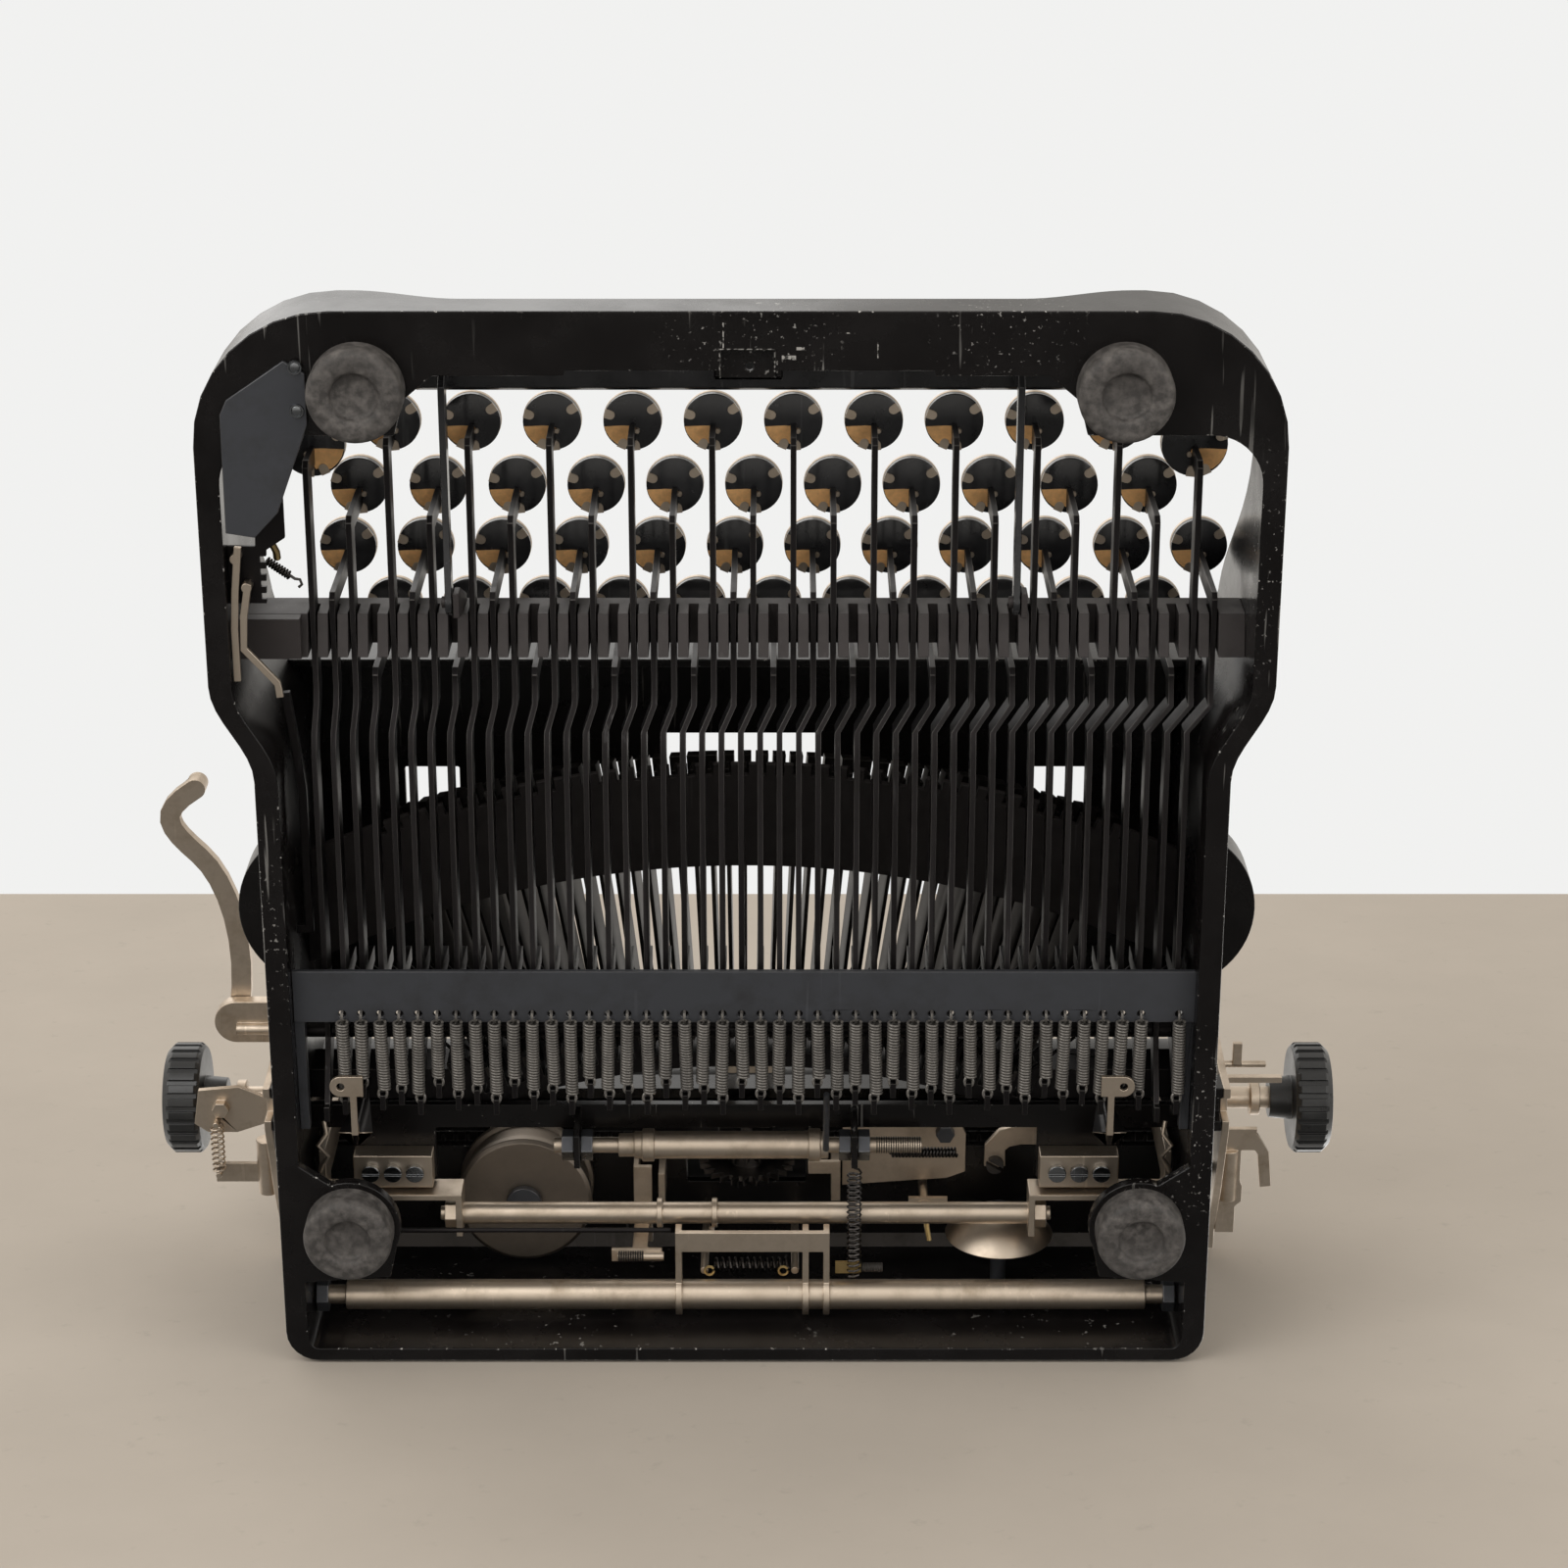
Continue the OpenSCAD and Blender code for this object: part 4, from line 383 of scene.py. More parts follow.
def enamel(name, chip_level, scratch_level, spots):
    """Gloss black enamel with fine scratches and small chips down to bare iron, closer round worn spots."""
    look = settings().finish
    material, tree, shader = blank_material(name)
    scratch = effect(tree, "scratches", Scale=420.0, Level=scratch_level, Patch_scale=22.0)["Mask"]
    chips = effect(tree, "blotches", Scale=620.0, Detail=4.0, Low=chip_level, High=chip_level + 0.035)["Mask"]
    haze = effect(tree, "blotches", Scale=34.0, Detail=7.0, Low=0.35, High=0.75)["Mask"]
    dust = effect(tree, "dust", Scale=420.0, Amount=0.10)["Mask"]
    damage = [times(tree, scratch, 0.35), chips]
    if spots:
        nicks = effect(tree, "blotches", Scale=760.0, Detail=5.0, Low=0.63, High=0.67)["Mask"]
        lines = effect(tree, "scratches", Scale=520.0, Level=0.68, Patch_scale=60.0)["Mask"]
        breaks = effect(tree, "blotches", Scale=900.0, Detail=3.0, Low=0.44, High=0.52)["Mask"]
        damage.append(times(tree, near(tree, spots), highest(tree, [nicks, lines])))
        damage.append(times(tree, strokes(tree, WORN_LINES), breaks))
    bare = highest(tree, damage)
    paint = mix_colour(tree, haze, look.japan, tone(look.japan, 2.0, 0.002))
    dusty = mix_colour(tree, dust, paint, ENAMEL_DUST)
    colour = mix_colour(tree, bare, dusty, look.bare_iron)
    roughness = highest(tree, [between(tree, haze, 0.20, 0.36), times(tree, bare, 0.45)])
    grain = effect(tree, "blotches", Scale=900.0, Detail=3.0)["Height"]
    feed(tree, shader, colour, roughness, grain, 0.06, metallic=times(tree, bare, 0.6))
    shader.inputs["Specular IOR Level"].default_value = 0.28
    return material


def plated(name, colour, film, rough, metallic):
    """Metal with a patchy film and fine scratches."""
    material, tree, shader = blank_material(name)
    stain = effect(tree, "blotches", Scale=110.0, Detail=8.0, Low=0.45, High=0.72)
    broad = effect(tree, "blotches", Scale=24.2, Detail=4.0, Low=0.38, High=0.68)["Mask"]
    scratch = effect(tree, "scratches", Scale=520.0, Level=0.69, Patch_scale=40.0)["Mask"]
    amount = times(tree, stain["Mask"], between(tree, broad, 0.35, 1.0))
    filmed = mix_colour(tree, amount, colour, film)
    tint = mix_colour(tree, times(tree, scratch, 0.5), filmed, tone(colour, 1.35, 0.05))
    feed(tree, shader, tint, between(tree, amount, *rough), stain["Height"], 0.08, 0.00012, metallic)
    return material


def worn_rubber(name, colour):
    """Mottled rubber, dull where it is rubbed."""
    material, tree, shader = blank_material(name)
    mottle = effect(tree, "blotches", Scale=420.0, Detail=9.0, Low=0.40, High=0.72)
    broad = effect(tree, "blotches", Scale=85.0, Detail=5.0, Low=0.40, High=0.66)["Mask"]
    pale = mix_colour(tree, mottle["Mask"], colour, tone(colour, 3.4, 0.016))
    tint = mix_colour(tree, times(tree, broad, 0.55), pale, tone(colour, 1.25))
    feed(tree, shader, tint, between(tree, mottle["Mask"], 0.62, 0.88), mottle["Height"], 0.5, 0.0004)
    return material


def moulded(name, colour, rough):
    """Moulded black pieces: hard rubber, celluloid and the platen."""
    material, tree, shader = blank_material(name)
    haze = effect(tree, "blotches", Scale=70.0, Detail=6.0, Low=0.38, High=0.74)
    scratch = effect(tree, "scratches", Scale=420.0, Level=0.68, Patch_scale=30.0)["Mask"]
    dust = effect(tree, "dust", Scale=500.0, Amount=0.2)["Mask"]
    hazy = mix_colour(tree, haze["Mask"], colour, tone(colour, 1.9, 0.002))
    scuffed = mix_colour(tree, times(tree, scratch, 0.35), hazy, SCUFF_GREY)
    tint = mix_colour(tree, dust, scuffed, MOULDED_DUST)
    feed(tree, shader, tint, between(tree, haze["Mask"], *rough), haze["Height"], 0.05)
    return material


def card_stock(name, colour):
    """Stained card with a fine fibre."""
    material, tree, shader = blank_material(name)
    fibre = effect(tree, "blotches", Scale=900.0, Detail=6.0, Low=0.35, High=0.7)
    stain = effect(tree, "blotches", Scale=130.0, Detail=5.0, Low=0.48, High=0.72)["Mask"]
    paler = mix_colour(tree, fibre["Mask"], colour, tone(colour, 1.25))
    tint = mix_colour(tree, times(tree, stain, 0.6), paler, tone(colour, 0.45))
    feed(tree, shader, tint, between(tree, fibre["Mask"], 0.7, 0.9), fibre["Height"], 0.2)
    return material


# Enamels: the levels above which chips and scratches show, and the worn spots
ENAMELS = {
    "black_japan": (0.76, 0.70, WORN_SPOTS),
    "japan_edge": (0.63, 0.66, WORN_SPOTS),
    "thin_edge": (0.66, 0.68, ()),
}
# Metals: colour and film, each as numbers or the setting that holds it, range of roughness, how metallic
METALS = {
    "blued_steel": ("blued_steel", (0.045, 0.045, 0.048), (0.40, 0.56), 0.6),
    "blued_edge": ((0.13, 0.13, 0.135), "blued_steel", (0.40, 0.55), 1.0),
    "dark_steel": ("dark_steel", (0.014, 0.012, 0.011), (0.38, 0.56), 0.8),
    "steel_edge": ((0.085, 0.080, 0.076), "dark_steel", (0.36, 0.54), 1.0),
    "old_screw": ((0.060, 0.054, 0.049), (0.028, 0.024, 0.021), (0.5, 0.66), 0.7),
    "screw_steel": ((0.24, 0.25, 0.26), (0.09, 0.09, 0.095), (0.22, 0.40), 1.0),
    "spring_steel": ("wire", (0.068, 0.063, 0.058), (0.40, 0.56), 0.55),
    "dark_spring": ((0.055, 0.050, 0.047), (0.024, 0.021, 0.019), (0.34, 0.5), 1.0),
    "brass": ((0.52, 0.38, 0.17), (0.22, 0.15, 0.07), (0.34, 0.52), 1.0),
    "type_steel": ("type_steel", (0.05, 0.045, 0.040), (0.32, 0.54), 1.0),
    "typebar_steel": ((0.045, 0.040, 0.036), (0.022, 0.019, 0.017), (0.40, 0.56), 0.8),
    "rest_steel": ((0.037, 0.031, 0.030), (0.022, 0.018, 0.017), (0.52, 0.68), 0.3),
    "aged_nickel": ("nickel", "tarnish", (0.40, 0.56), 1.0),
    "brushed_drum": ((0.235, 0.20, 0.165), (0.17, 0.14, 0.115), (0.48, 0.58), 1.0),
}
# Moulded pieces: colour and range of roughness
MOULDED = {
    "key_black": ((0.012, 0.012, 0.013), (0.16, 0.30)),
    "platen_rubber": ((0.014, 0.014, 0.014), (0.42, 0.6)),
    "knob_plastic": ((0.012, 0.012, 0.012), (0.26, 0.42)),
}


def make_finish(name, label):
    """Builds the material of a finish."""
    look = settings().finish
    if name in ENAMELS:
        return enamel(label, *ENAMELS[name])
    if name in METALS:
        *colours, rough, metallic = METALS[name]
        colours = [getattr(look, c) if isinstance(c, str) else c for c in colours]
        return plated(label, *colours, rough, metallic)
    if name in MOULDED:
        return moulded(label, *MOULDED[name])
    return card_stock(label, look.card) if name == "key_card" else worn_rubber(label, look.rubber)


def finish(name):
    """The material of a finish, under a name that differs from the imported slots."""
    label = "worn_" + name
    return bpy.data.materials.get(label) or make_finish(name, label)


# Meshes

EDGE_LIMIT = math.radians(35)
EDGE_SEGMENTS = 2
EDGE_FINISH = 1
MERGE_DISTANCE = 3e-6
FLAT_ANGLE = math.radians(0.8)


def on_circle(radius, angle):
    return radius * math.cos(angle), radius * math.sin(angle)


def band(a, b):
    """Faces between two rings of point numbers, where a ring of one number is a pole."""
    faces = []
    count = max(len(a), len(b))
    for k in range(count):
        n = (k + 1) % count
        if len(a) == 1:
            faces.append((a[0], b[n], b[k]))
        elif len(b) == 1:
            faces.append((a[k], a[n], b[0]))
        else:
            faces.append((a[k], a[n], b[n], b[k]))
    return faces


class Shape:
    """Gathers closed solids in millimetres and turns them into one mesh."""

    def __init__(self):
        self.points = []
        self.faces = []

    def add(self, points, faces, matrix=None):
        base = len(self.points)
        self.points += [matrix @ Vector(p) if matrix else Vector(p) for p in points]
        self.faces += [[base + i for i in f] for f in faces]

    def lathe(self, profile, sides, matrix=None):
        """Turned solid round Z from (radius, height) points; a zero radius closes it with a pole."""
        points, rings, faces = [], [], []
        for radius, height in profile:
            count = sides if radius else 1
            rings.append(range(len(points), len(points) + count))
            points += [(*on_circle(radius, math.tau * k / sides), height) for k in range(count)]
        for a, b in zip(rings, rings[1:]):
            faces += band(a, b)
        self.add(points, faces, matrix)

    def tube(self, line, radius, sides):
        """Round wire along a line of points, with closed ends."""
        line = [Vector(p) for p in line]
        up = None
        points, faces = [], []
        for i, p in enumerate(line):
            along = (line[min(i + 1, len(line) - 1)] - line[max(i - 1, 0)]).normalized()
            if up is None:
                up = along.orthogonal().normalized()
            up = (up - along * up.dot(along)).normalized()
            side = along.cross(up)
            for k in range(sides):
                angle = math.tau * k / sides
                points.append(p + radius * (up * math.cos(angle) + side * math.sin(angle)))
        rings = [range(i * sides, (i + 1) * sides) for i in range(len(line))]
        for a, b in zip(rings, rings[1:]):
            faces += band(a, b)
        self.add(points, [*faces, rings[0][::-1], rings[-1]])

    def plate(self, outline, low, high, matrix=None):
        """Flat plate from an outline in X and Y, wound anticlockwise, between two heights."""
        points = [(x, y, h) for h in (low, high) for x, y in outline]
        lower, upper = range(len(outline)), range(len(outline), len(points))
        self.add(points, [lower[::-1], upper, *band(lower, upper)], matrix)

    def mesh(self, name, side=1):
        """The shape in metres, mirrored across X where side is -1."""
        mesh = bpy.data.meshes.new(name)
        mesh.from_pydata([Vector((side * p.x, p.y, p.z)) * MM for p in self.points], [], self.faces)
        if side < 0:
            mesh.flip_normals()
        return mesh


def new_object(name, data, finishes=()):
    """An object in the scene, with its finishes in order."""
    piece = bpy.data.objects.new(name, data)
    bpy.context.scene.collection.objects.link(piece)
    for label in finishes:
        data.materials.append(finish(label))
    return piece


def settle(piece):
    """Keeps what the modifiers make as the piece's own plain mesh."""
    bpy.context.view_layer.update()
    depsgraph = bpy.context.evaluated_depsgraph_get()
    mesh = bpy.data.meshes.new_from_object(piece.evaluated_get(depsgraph), depsgraph=depsgraph)
    piece.modifiers.clear()
    piece.data = mesh
    mesh.name = piece.name
    return piece


def round_edges(piece, width):
    """Rounds sharp edges by a width in millimetres and gives them the piece's second finish."""
    for polygon in piece.data.polygons:
        polygon.use_smooth = True
    bevel = piece.modifiers.new("edges", "BEVEL")
    bevel.width = width * MM
    bevel.segments = EDGE_SEGMENTS
    bevel.limit_method = "ANGLE"
    bevel.angle_limit = EDGE_LIMIT
    bevel.harden_normals = True
    bevel.use_clamp_overlap = False
    bevel.material = EDGE_FINISH
    bevel.miter_outer = "MITER_ARC"
    return settle(piece)


def smooth_faces(piece, angle):
    """Shades a piece smooth but for edges sharper than an angle in degrees."""
    piece.data.shade_smooth()
    piece.data.set_sharp_from_angle(angle=math.radians(angle))


def ride(piece, body, slot, *nodes):
    """Says which body carries a piece and the CAD nodes that it stands for; the material slot is not used."""
    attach(piece, body)
    if nodes:
        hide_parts(*nodes)


def merged_copy(node, name):
    """A CAD node's mesh with its loose triangles joined into whole faces."""
    bm = bmesh.new()
    bm.from_mesh(NODES[node].data)
    bmesh.ops.remove_doubles(bm, verts=bm.verts, dist=MERGE_DISTANCE)
    bmesh.ops.dissolve_limit(bm, angle_limit=FLAT_ANGLE, use_dissolve_boundaries=False,
                             verts=bm.verts, edges=bm.edges)
    mesh = bpy.data.meshes.new(name)
    bm.to_mesh(mesh)
    bm.free()
    for label in ("custom_normal", "UVMap"):
        if label in mesh.attributes:
            mesh.attributes.remove(mesh.attributes[label])
    return mesh


def edited(mesh, change, *values):
    """A mesh after a change that is made to its bmesh."""
    bm = bmesh.new()
    bm.from_mesh(mesh)
    change(bm, *values)
    bm.to_mesh(mesh)
    bm.free()
    return mesh


def cut_above(bm, top):
    """Removes what lies above a height in millimetres and closes the cut."""
    cut = bmesh.ops.bisect_plane(bm, geom=[*bm.verts, *bm.edges, *bm.faces], plane_co=place(0, 0, top),
                                 plane_no=(0, 0, 1), clear_outer=True)["geom_cut"]
    bmesh.ops.holes_fill(bm, edges=[e for e in cut if isinstance(e, bmesh.types.BMEdge)])


def islands(bm):
    """The groups of connected vertices of a mesh."""
    seen = set()
    for start in bm.verts:
        if start in seen:
            continue
        island, stack = set(), [start]
        while stack:
            vertex = stack.pop()
            if vertex not in island:
                island.add(vertex)
                stack += [edge.other_vert(vertex) for edge in vertex.link_edges]
        seen |= island
        yield island


# Rules of the type basket, in millimetres and degrees
BASKET_Y = 391
PIVOT_R = 196
PIVOT_H = 37
BAR_STEP = 0.95
BAR_ROLL = 1.8
BLADE_RISE = 9.5 / 58
BLADE_START = 9.5
BLADE_HALF = 2.35
BLADE_DEPTH = 1.35


def deepen_blades(bm):
    """Deepens the blades of the typebars about their own middle lines, so that the rolled ones overlap."""
    for island in islands(bm):
        turns = [math.atan2(x, BASKET_Y - y) for x, y, _ in (measure(v.co) for v in island)]
        angle = math.radians(BAR_STEP * round(math.degrees(sum(turns) / len(turns)) / BAR_STEP))
        roll = BAR_ROLL * angle
        outward = Vector((math.sin(angle), -math.cos(angle), 0))
        depth = Vector((-math.sin(roll) * math.cos(angle), -math.sin(roll) * math.sin(angle), math.cos(roll)))
        for vertex in island:
            arm = Vector(measure(vertex.co)) - Vector((0, BASKET_Y, PIVOT_H))
            along = arm.dot(outward) - PIVOT_R
            middle = outward * (PIVOT_R + along) + Vector((0, 0, along * BLADE_RISE))
            off = (arm - middle).dot(depth)
            if along > BLADE_START and abs(off) < BLADE_HALF:
                vertex.co += depth * off * (BLADE_DEPTH - 1) * MM


# Repeated pieces

COIL_STEPS = 12
WIRE_SIDES = 6
COIL_SHARP = 75
SHAPE_SHARP = 40


def one_shape(tree, source):
    """The mesh of the object that is repeated."""
    return new_node(tree, "GeometryNodeObjectInfo", Object=source["Shape"]).outputs["Geometry"]


def one_coil(tree, source):
    """A spring wound along Z, from a spiral and a round section."""
    spiral = new_node(tree, "GeometryNodeCurveSpiral", Resolution=COIL_STEPS, Rotations=source["Turns"],
                      Start_Radius=source["Coil radius"], End_Radius=source["Coil radius"],
                      Height=source["Length"])
    section = new_node(tree, "GeometryNodeCurvePrimitiveCircle", Resolution=WIRE_SIDES,
                       Radius=source["Wire radius"])
    return new_node(tree, "GeometryNodeCurveToMesh", Curve=spiral.outputs[0],
                    Profile_Curve=section.outputs[0], Fill_Caps=True).outputs[0]


# Geometry trees: their own inputs as (name, kind, default), and what makes the repeated shape
TREES = {
    "repeat": ([("Shape", "Object", None)], one_shape),
    "coil": ([("Turns", "Float", 12.0), ("Coil radius", "Float", 0.001), ("Wire radius", "Float", 0.0003),
              ("Length", "Float", 0.012)], one_coil),
}
SPREAD_INPUTS = [("Tilt", "Vector", (0, 0, 0)), ("Seed", "Int", 1), ("Finish", "Material", None)]


def spread_tree(name, inputs, build):
    """Puts a shape on every point, turned by the points' own angles and a small random tilt, as one mesh."""
    tree = bpy.data.node_groups.new(name, "GeometryNodeTree")
    tree.interface.new_socket("Geometry", in_out="INPUT", socket_type="NodeSocketGeometry")
    for label, kind, default in inputs + SPREAD_INPUTS:
        socket = tree.interface.new_socket(label, in_out="INPUT", socket_type="NodeSocket" + kind)
        if default is not None:
            socket.default_value = default
    tree.interface.new_socket("Geometry", in_out="OUTPUT", socket_type="NodeSocketGeometry")
    source = tree.nodes.new("NodeGroupInput").outputs
    turn = new_node(tree, "GeometryNodeInputNamedAttribute", ("data_type", "FLOAT_VECTOR"), Name="turn")
    low = new_node(tree, "ShaderNodeVectorMath", ("operation", "SCALE"), Vector=source["Tilt"], Scale=-1)
    tilt = new_node(tree, "FunctionNodeRandomValue", ("data_type", "FLOAT_VECTOR"), Seed=source["Seed"])
    total = new_node(tree, "ShaderNodeVectorMath", ("operation", "ADD"))
    for node, ends in ((tilt, (low.outputs[0], source["Tilt"])), (total, (turn.outputs[0], tilt.outputs[0]))):
        for socket, end in zip(node.inputs, ends):
            tree.links.new(end, socket)
    spots = new_node(tree, "GeometryNodeInstanceOnPoints", Points=source["Geometry"],
                     Instance=build(tree, source), Rotation=total.outputs[0])
    real = new_node(tree, "GeometryNodeRealizeInstances", Geometry=spots.outputs[0])
    coat = new_node(tree, "GeometryNodeSetMaterial", Geometry=real.outputs[0], Material=source["Finish"])
    tree.links.new(coat.outputs[0], tree.nodes.new("NodeGroupOutput").inputs[0])
    return tree


def grow(name, kind, spots, sharp, **values):
    """Runs a tree on points, given as (place, turn) pairs in metres and radians, into a plain mesh."""
    tree = bpy.data.node_groups.get(kind) or spread_tree(kind, *TREES[kind])
    mesh = bpy.data.meshes.new(name)
    mesh.from_pydata([p for p, _ in spots], [], [])
    turns = mesh.attributes.new("turn", "FLOAT_VECTOR", "POINT")
    turns.data.foreach_set("vector", [c for _, t in spots for c in t])
    piece = new_object(name, mesh)
    modifier = piece.modifiers.new("grow", "NODES")
    modifier.node_group = tree
    sockets = {i.name: i.identifier for i in tree.interface.items_tree if i.in_out == "INPUT"}
    for label, value in values.items():
        modifier[sockets[label.replace("_", " ")]] = value
    smooth_faces(settle(piece), sharp)
    return piece


def spot(x, y, h, turn=(0, 0, 0)):
    """Where a repeated piece stands, in millimetres, and its turn in radians."""
    return place(x, y, h), turn


def copies(shape, spots, label, side=1):
    """Repeats a shape at every spot."""
    one = new_object("one", shape.mesh("one", side))
    piece = grow("copies", "repeat", spots, SHAPE_SHARP, Shape=one, Finish=finish(label))
    bpy.data.objects.remove(one)
    return piece


def coils(spots, label, turns, radius, wire, length, **values):
    """Winds a spring at every spot, with its sizes in metres."""
    return grow("coils", "coil", spots, COIL_SHARP, Turns=float(turns), Coil_radius=radius, Wire_radius=wire,
                Length=length, Finish=finish(label), **values)


def joined(name, pieces):
    """Joins plain pieces into one object that keeps their finishes."""
    bm = bmesh.new()
    mesh = bpy.data.meshes.new(name)
    for piece in pieces:
        offset = len(mesh.materials)
        for material in piece.data.materials:
            mesh.materials.append(material)
        start = len(bm.faces)
        bm.from_mesh(piece.data)
        bm.faces.ensure_lookup_table()
        for face in bm.faces[start:]:
            face.material_index += offset
    bm.to_mesh(mesh)
    bm.free()
    for piece in pieces:
        bpy.data.objects.remove(piece)
    return new_object(name, mesh)


# Dressed solids: the width of the rounded edges in millimetres, and the finishes of faces and edges
JAPAN = ("black_japan", "thin_edge")
WORN_JAPAN = ("black_japan", "japan_edge")
BLUED = ("blued_steel", "blued_edge")
STEEL = ("dark_steel", "steel_edge")
TYPEBAR = ("typebar_steel", "steel_edge")
WHEEL = ("type_steel", "steel_edge")
REST = ("rest_steel", "rest_steel")
NICKEL = ("aged_nickel", "aged_nickel")
ROLLER = ("platen_rubber", "platen_rubber")
DRESSED = {
    "base_frame": (0.35, WORN_JAPAN),
    "front_gusset_plate": (0.2, BLUED),
    "top_deck": (0.4, JAPAN),
    "key_comb": (0.2, REST),
    "spring_plate": (0.2, BLUED),
    "segment": (0.15, STEEL),
    "typebars": (0.12, TYPEBAR),
    "centre_typebar": (0.12, TYPEBAR),
    "typebar_rest": (0.2, REST),
    "type_guide": (0.2, NICKEL),
    "spool_cups": (0.25, JAPAN),
    "rear_tube": (0.3, NICKEL),
    "universal_tube": (0.25, NICKEL),
    "bed_plate": (0.25, JAPAN),
    "screw_blocks": (0.3, NICKEL),
    "fasteners": (0.2, BLUED),
    "rear_shelf": (0.25, JAPAN),
    "bell": (0.15, NICKEL),
    "row_1_levers": (0.14, STEEL),
    "row_2_levers": (0.14, STEEL),
    "row_3_levers": (0.14, STEEL),
    "row_4_levers": (0.14, STEEL),
    "centre_lever": (0.14, STEEL),
    "space_bar": (0.3, ("key_black", "key_black")),
    "shift_rail": (0.3, STEEL),
    "shift_bail": (0.2, NICKEL),
    "escape_wheel": (0.1, WHEEL),
    "carriage_channel": (0.3, JAPAN),
    "left_end_plate": (0.25, NICKEL),
    "right_end_plate": (0.25, NICKEL),
    "margin_bar": (0.06, WHEEL),
    "paper_table": (0.25, WORN_JAPAN),
    "escapement_rack": (0.08, TYPEBAR),
    "platen_roller": (0.4, ROLLER),
    "platen_shaft": (0.3, NICKEL),
    "platen_knobs": (0.2, ("knob_plastic", "knob_plastic")),
    "ratchet_wheel": (0.1, WHEEL),
    "front_feed_roller": (0.3, ROLLER),
    "rear_feed_roller": (0.3, ROLLER),
    "lever_bracket": (0.25, NICKEL),
    "return_lever": (0.12, NICKEL),
    "spring_drum": (0.2, ("brushed_drum", "brushed_drum")),
    "left_spool": (0.15, NICKEL),
    "right_spool": (0.15, NICKEL),
    "trip_bail": (0.2, NICKEL),
    "side_links": (0.15, NICKEL),
    "carriage_trim": (0.2, NICKEL),
    "escapement_frame": (0.2, NICKEL),
}
PLAIN = {"fulcrum_shaft": "dark_steel", "segment_wire": "type_steel", "feet": "foot_rubber",
         "coil_springs": "dark_spring", "key_springs": "spring_steel"}
# Another finish for the faces of a solid whose middles lie in one of these ranges of y and h
FAR = 1000
PAINTED = {
    "fasteners": ("screw_steel", [(220, 240, 0, 35)]),
    "escapement_frame": ("blued_steel", [(-FAR, 222, -FAR, FAR)]),
    "side_links": ("dark_steel", [(188, FAR, 2, FAR), (-FAR, 170, 4.6, FAR)]),
}
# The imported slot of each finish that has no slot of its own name
SLOT_OF = {"brushed_drum": "aged_nickel", "typebar_steel": "type_steel", "rest_steel": "black_japan"}


class TYPEWRITER_OT_finishes(bpy.types.Operator):
    """Give every solid its finish"""

    bl_idname = "typewriter.finishes"
    bl_label = "Finishes"

    def execute(self, context):
        for name, node in NODES.items():
            label = PLAIN.get(name) or (DRESSED[name][1][0] if name in DRESSED else "key_black")
            node.data.materials.clear()
            node.data.materials.append(finish(label))
        return {"FINISHED"}


class TYPEWRITER_OT_rounded_solids(bpy.types.Operator):
    """Round and wear the edges of the plates, castings and levers"""

    bl_idname = "typewriter.rounded_solids"
    bl_label = "Rounded solids"

    def execute(self, context):
        for name, (width, finishes) in DRESSED.items():
            whole = "dressed_" + name
            mesh = merged_copy(name, whole)
            if name == "typebars":
                edited(mesh, deepen_blades)
            piece = round_edges(new_object(whole, mesh, finishes), width)
            if name in PAINTED:
                self.paint(piece.data, *PAINTED[name])
            ride(piece, NODES[name]["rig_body"], SLOT_OF.get(finishes[0], finishes[0]), name)
        return {"FINISHED"}

    def paint(self, mesh, label, areas):
        """Gives the faces in some areas another finish."""
        mesh.materials.append(finish(label))
        for polygon in mesh.polygons:
            _, y, h = measure(polygon.center)
            if any(y_0 < y < y_1 and h_0 < h < h_1 for y_0, y_1, h_0, h_1 in areas):
                polygon.material_index = len(mesh.materials) - 1


# A key: widths as shares of its radius, heights and the small pieces below it in millimetres
KEY_SIDES = 40
KEY_BODY = ((0, 0.45), (0.94, 0.45), (0.985, 0.62), (0.985, 2.5), (0.88, 2.6), (0.88, 3.9), (0.7, 4.25),
            (0.35, 4.45), (0, 4.5))
KEY_RING = ((0.968, 2.4), (0.99, 2.3), (1.0, 2.45), (1.0, 3.5), (0.985, 3.95), (0.945, 4.15), (0.905, 4.05),
            (0.885, 3.8), (0.885, 3.4), (0.968, 3.2), (0.968, 2.4))
KEY_CARD = ((-0.955, 0.15), (-0.30, 0.12), (0.09, 0.14), (0.12, 0.30), (0.03, 0.36), (-0.01, 0.58),
            (-0.10, 0.76), (-0.24, 0.70), (-0.40, 0.78), (-0.56, 0.74), (-0.74, 0.58), (-0.88, 0.38))
CARD_LOW, CARD_HIGH = 0.28, 0.46
PRONG_TURNS = (-34, 199, 84, 114)
PRONG_OUTER, PRONG_INNER = 0.985, 0.79
PRONG_HALF = 1.1
PRONG_END = range(90, 271, 30)
PRONG_LOW, PRONG_HIGH = 0.05, 0.42
PEG_X, PEG_Y = 0.16, 0.30
PEG = ((0, -0.25), (0.55, -0.25), (0.7, 0.0), (0.7, 0.5), (0, 0.5))
PEG_SIDES = 12
LEVER_EDGE = 0.14
LEVER_GAP = 0.05


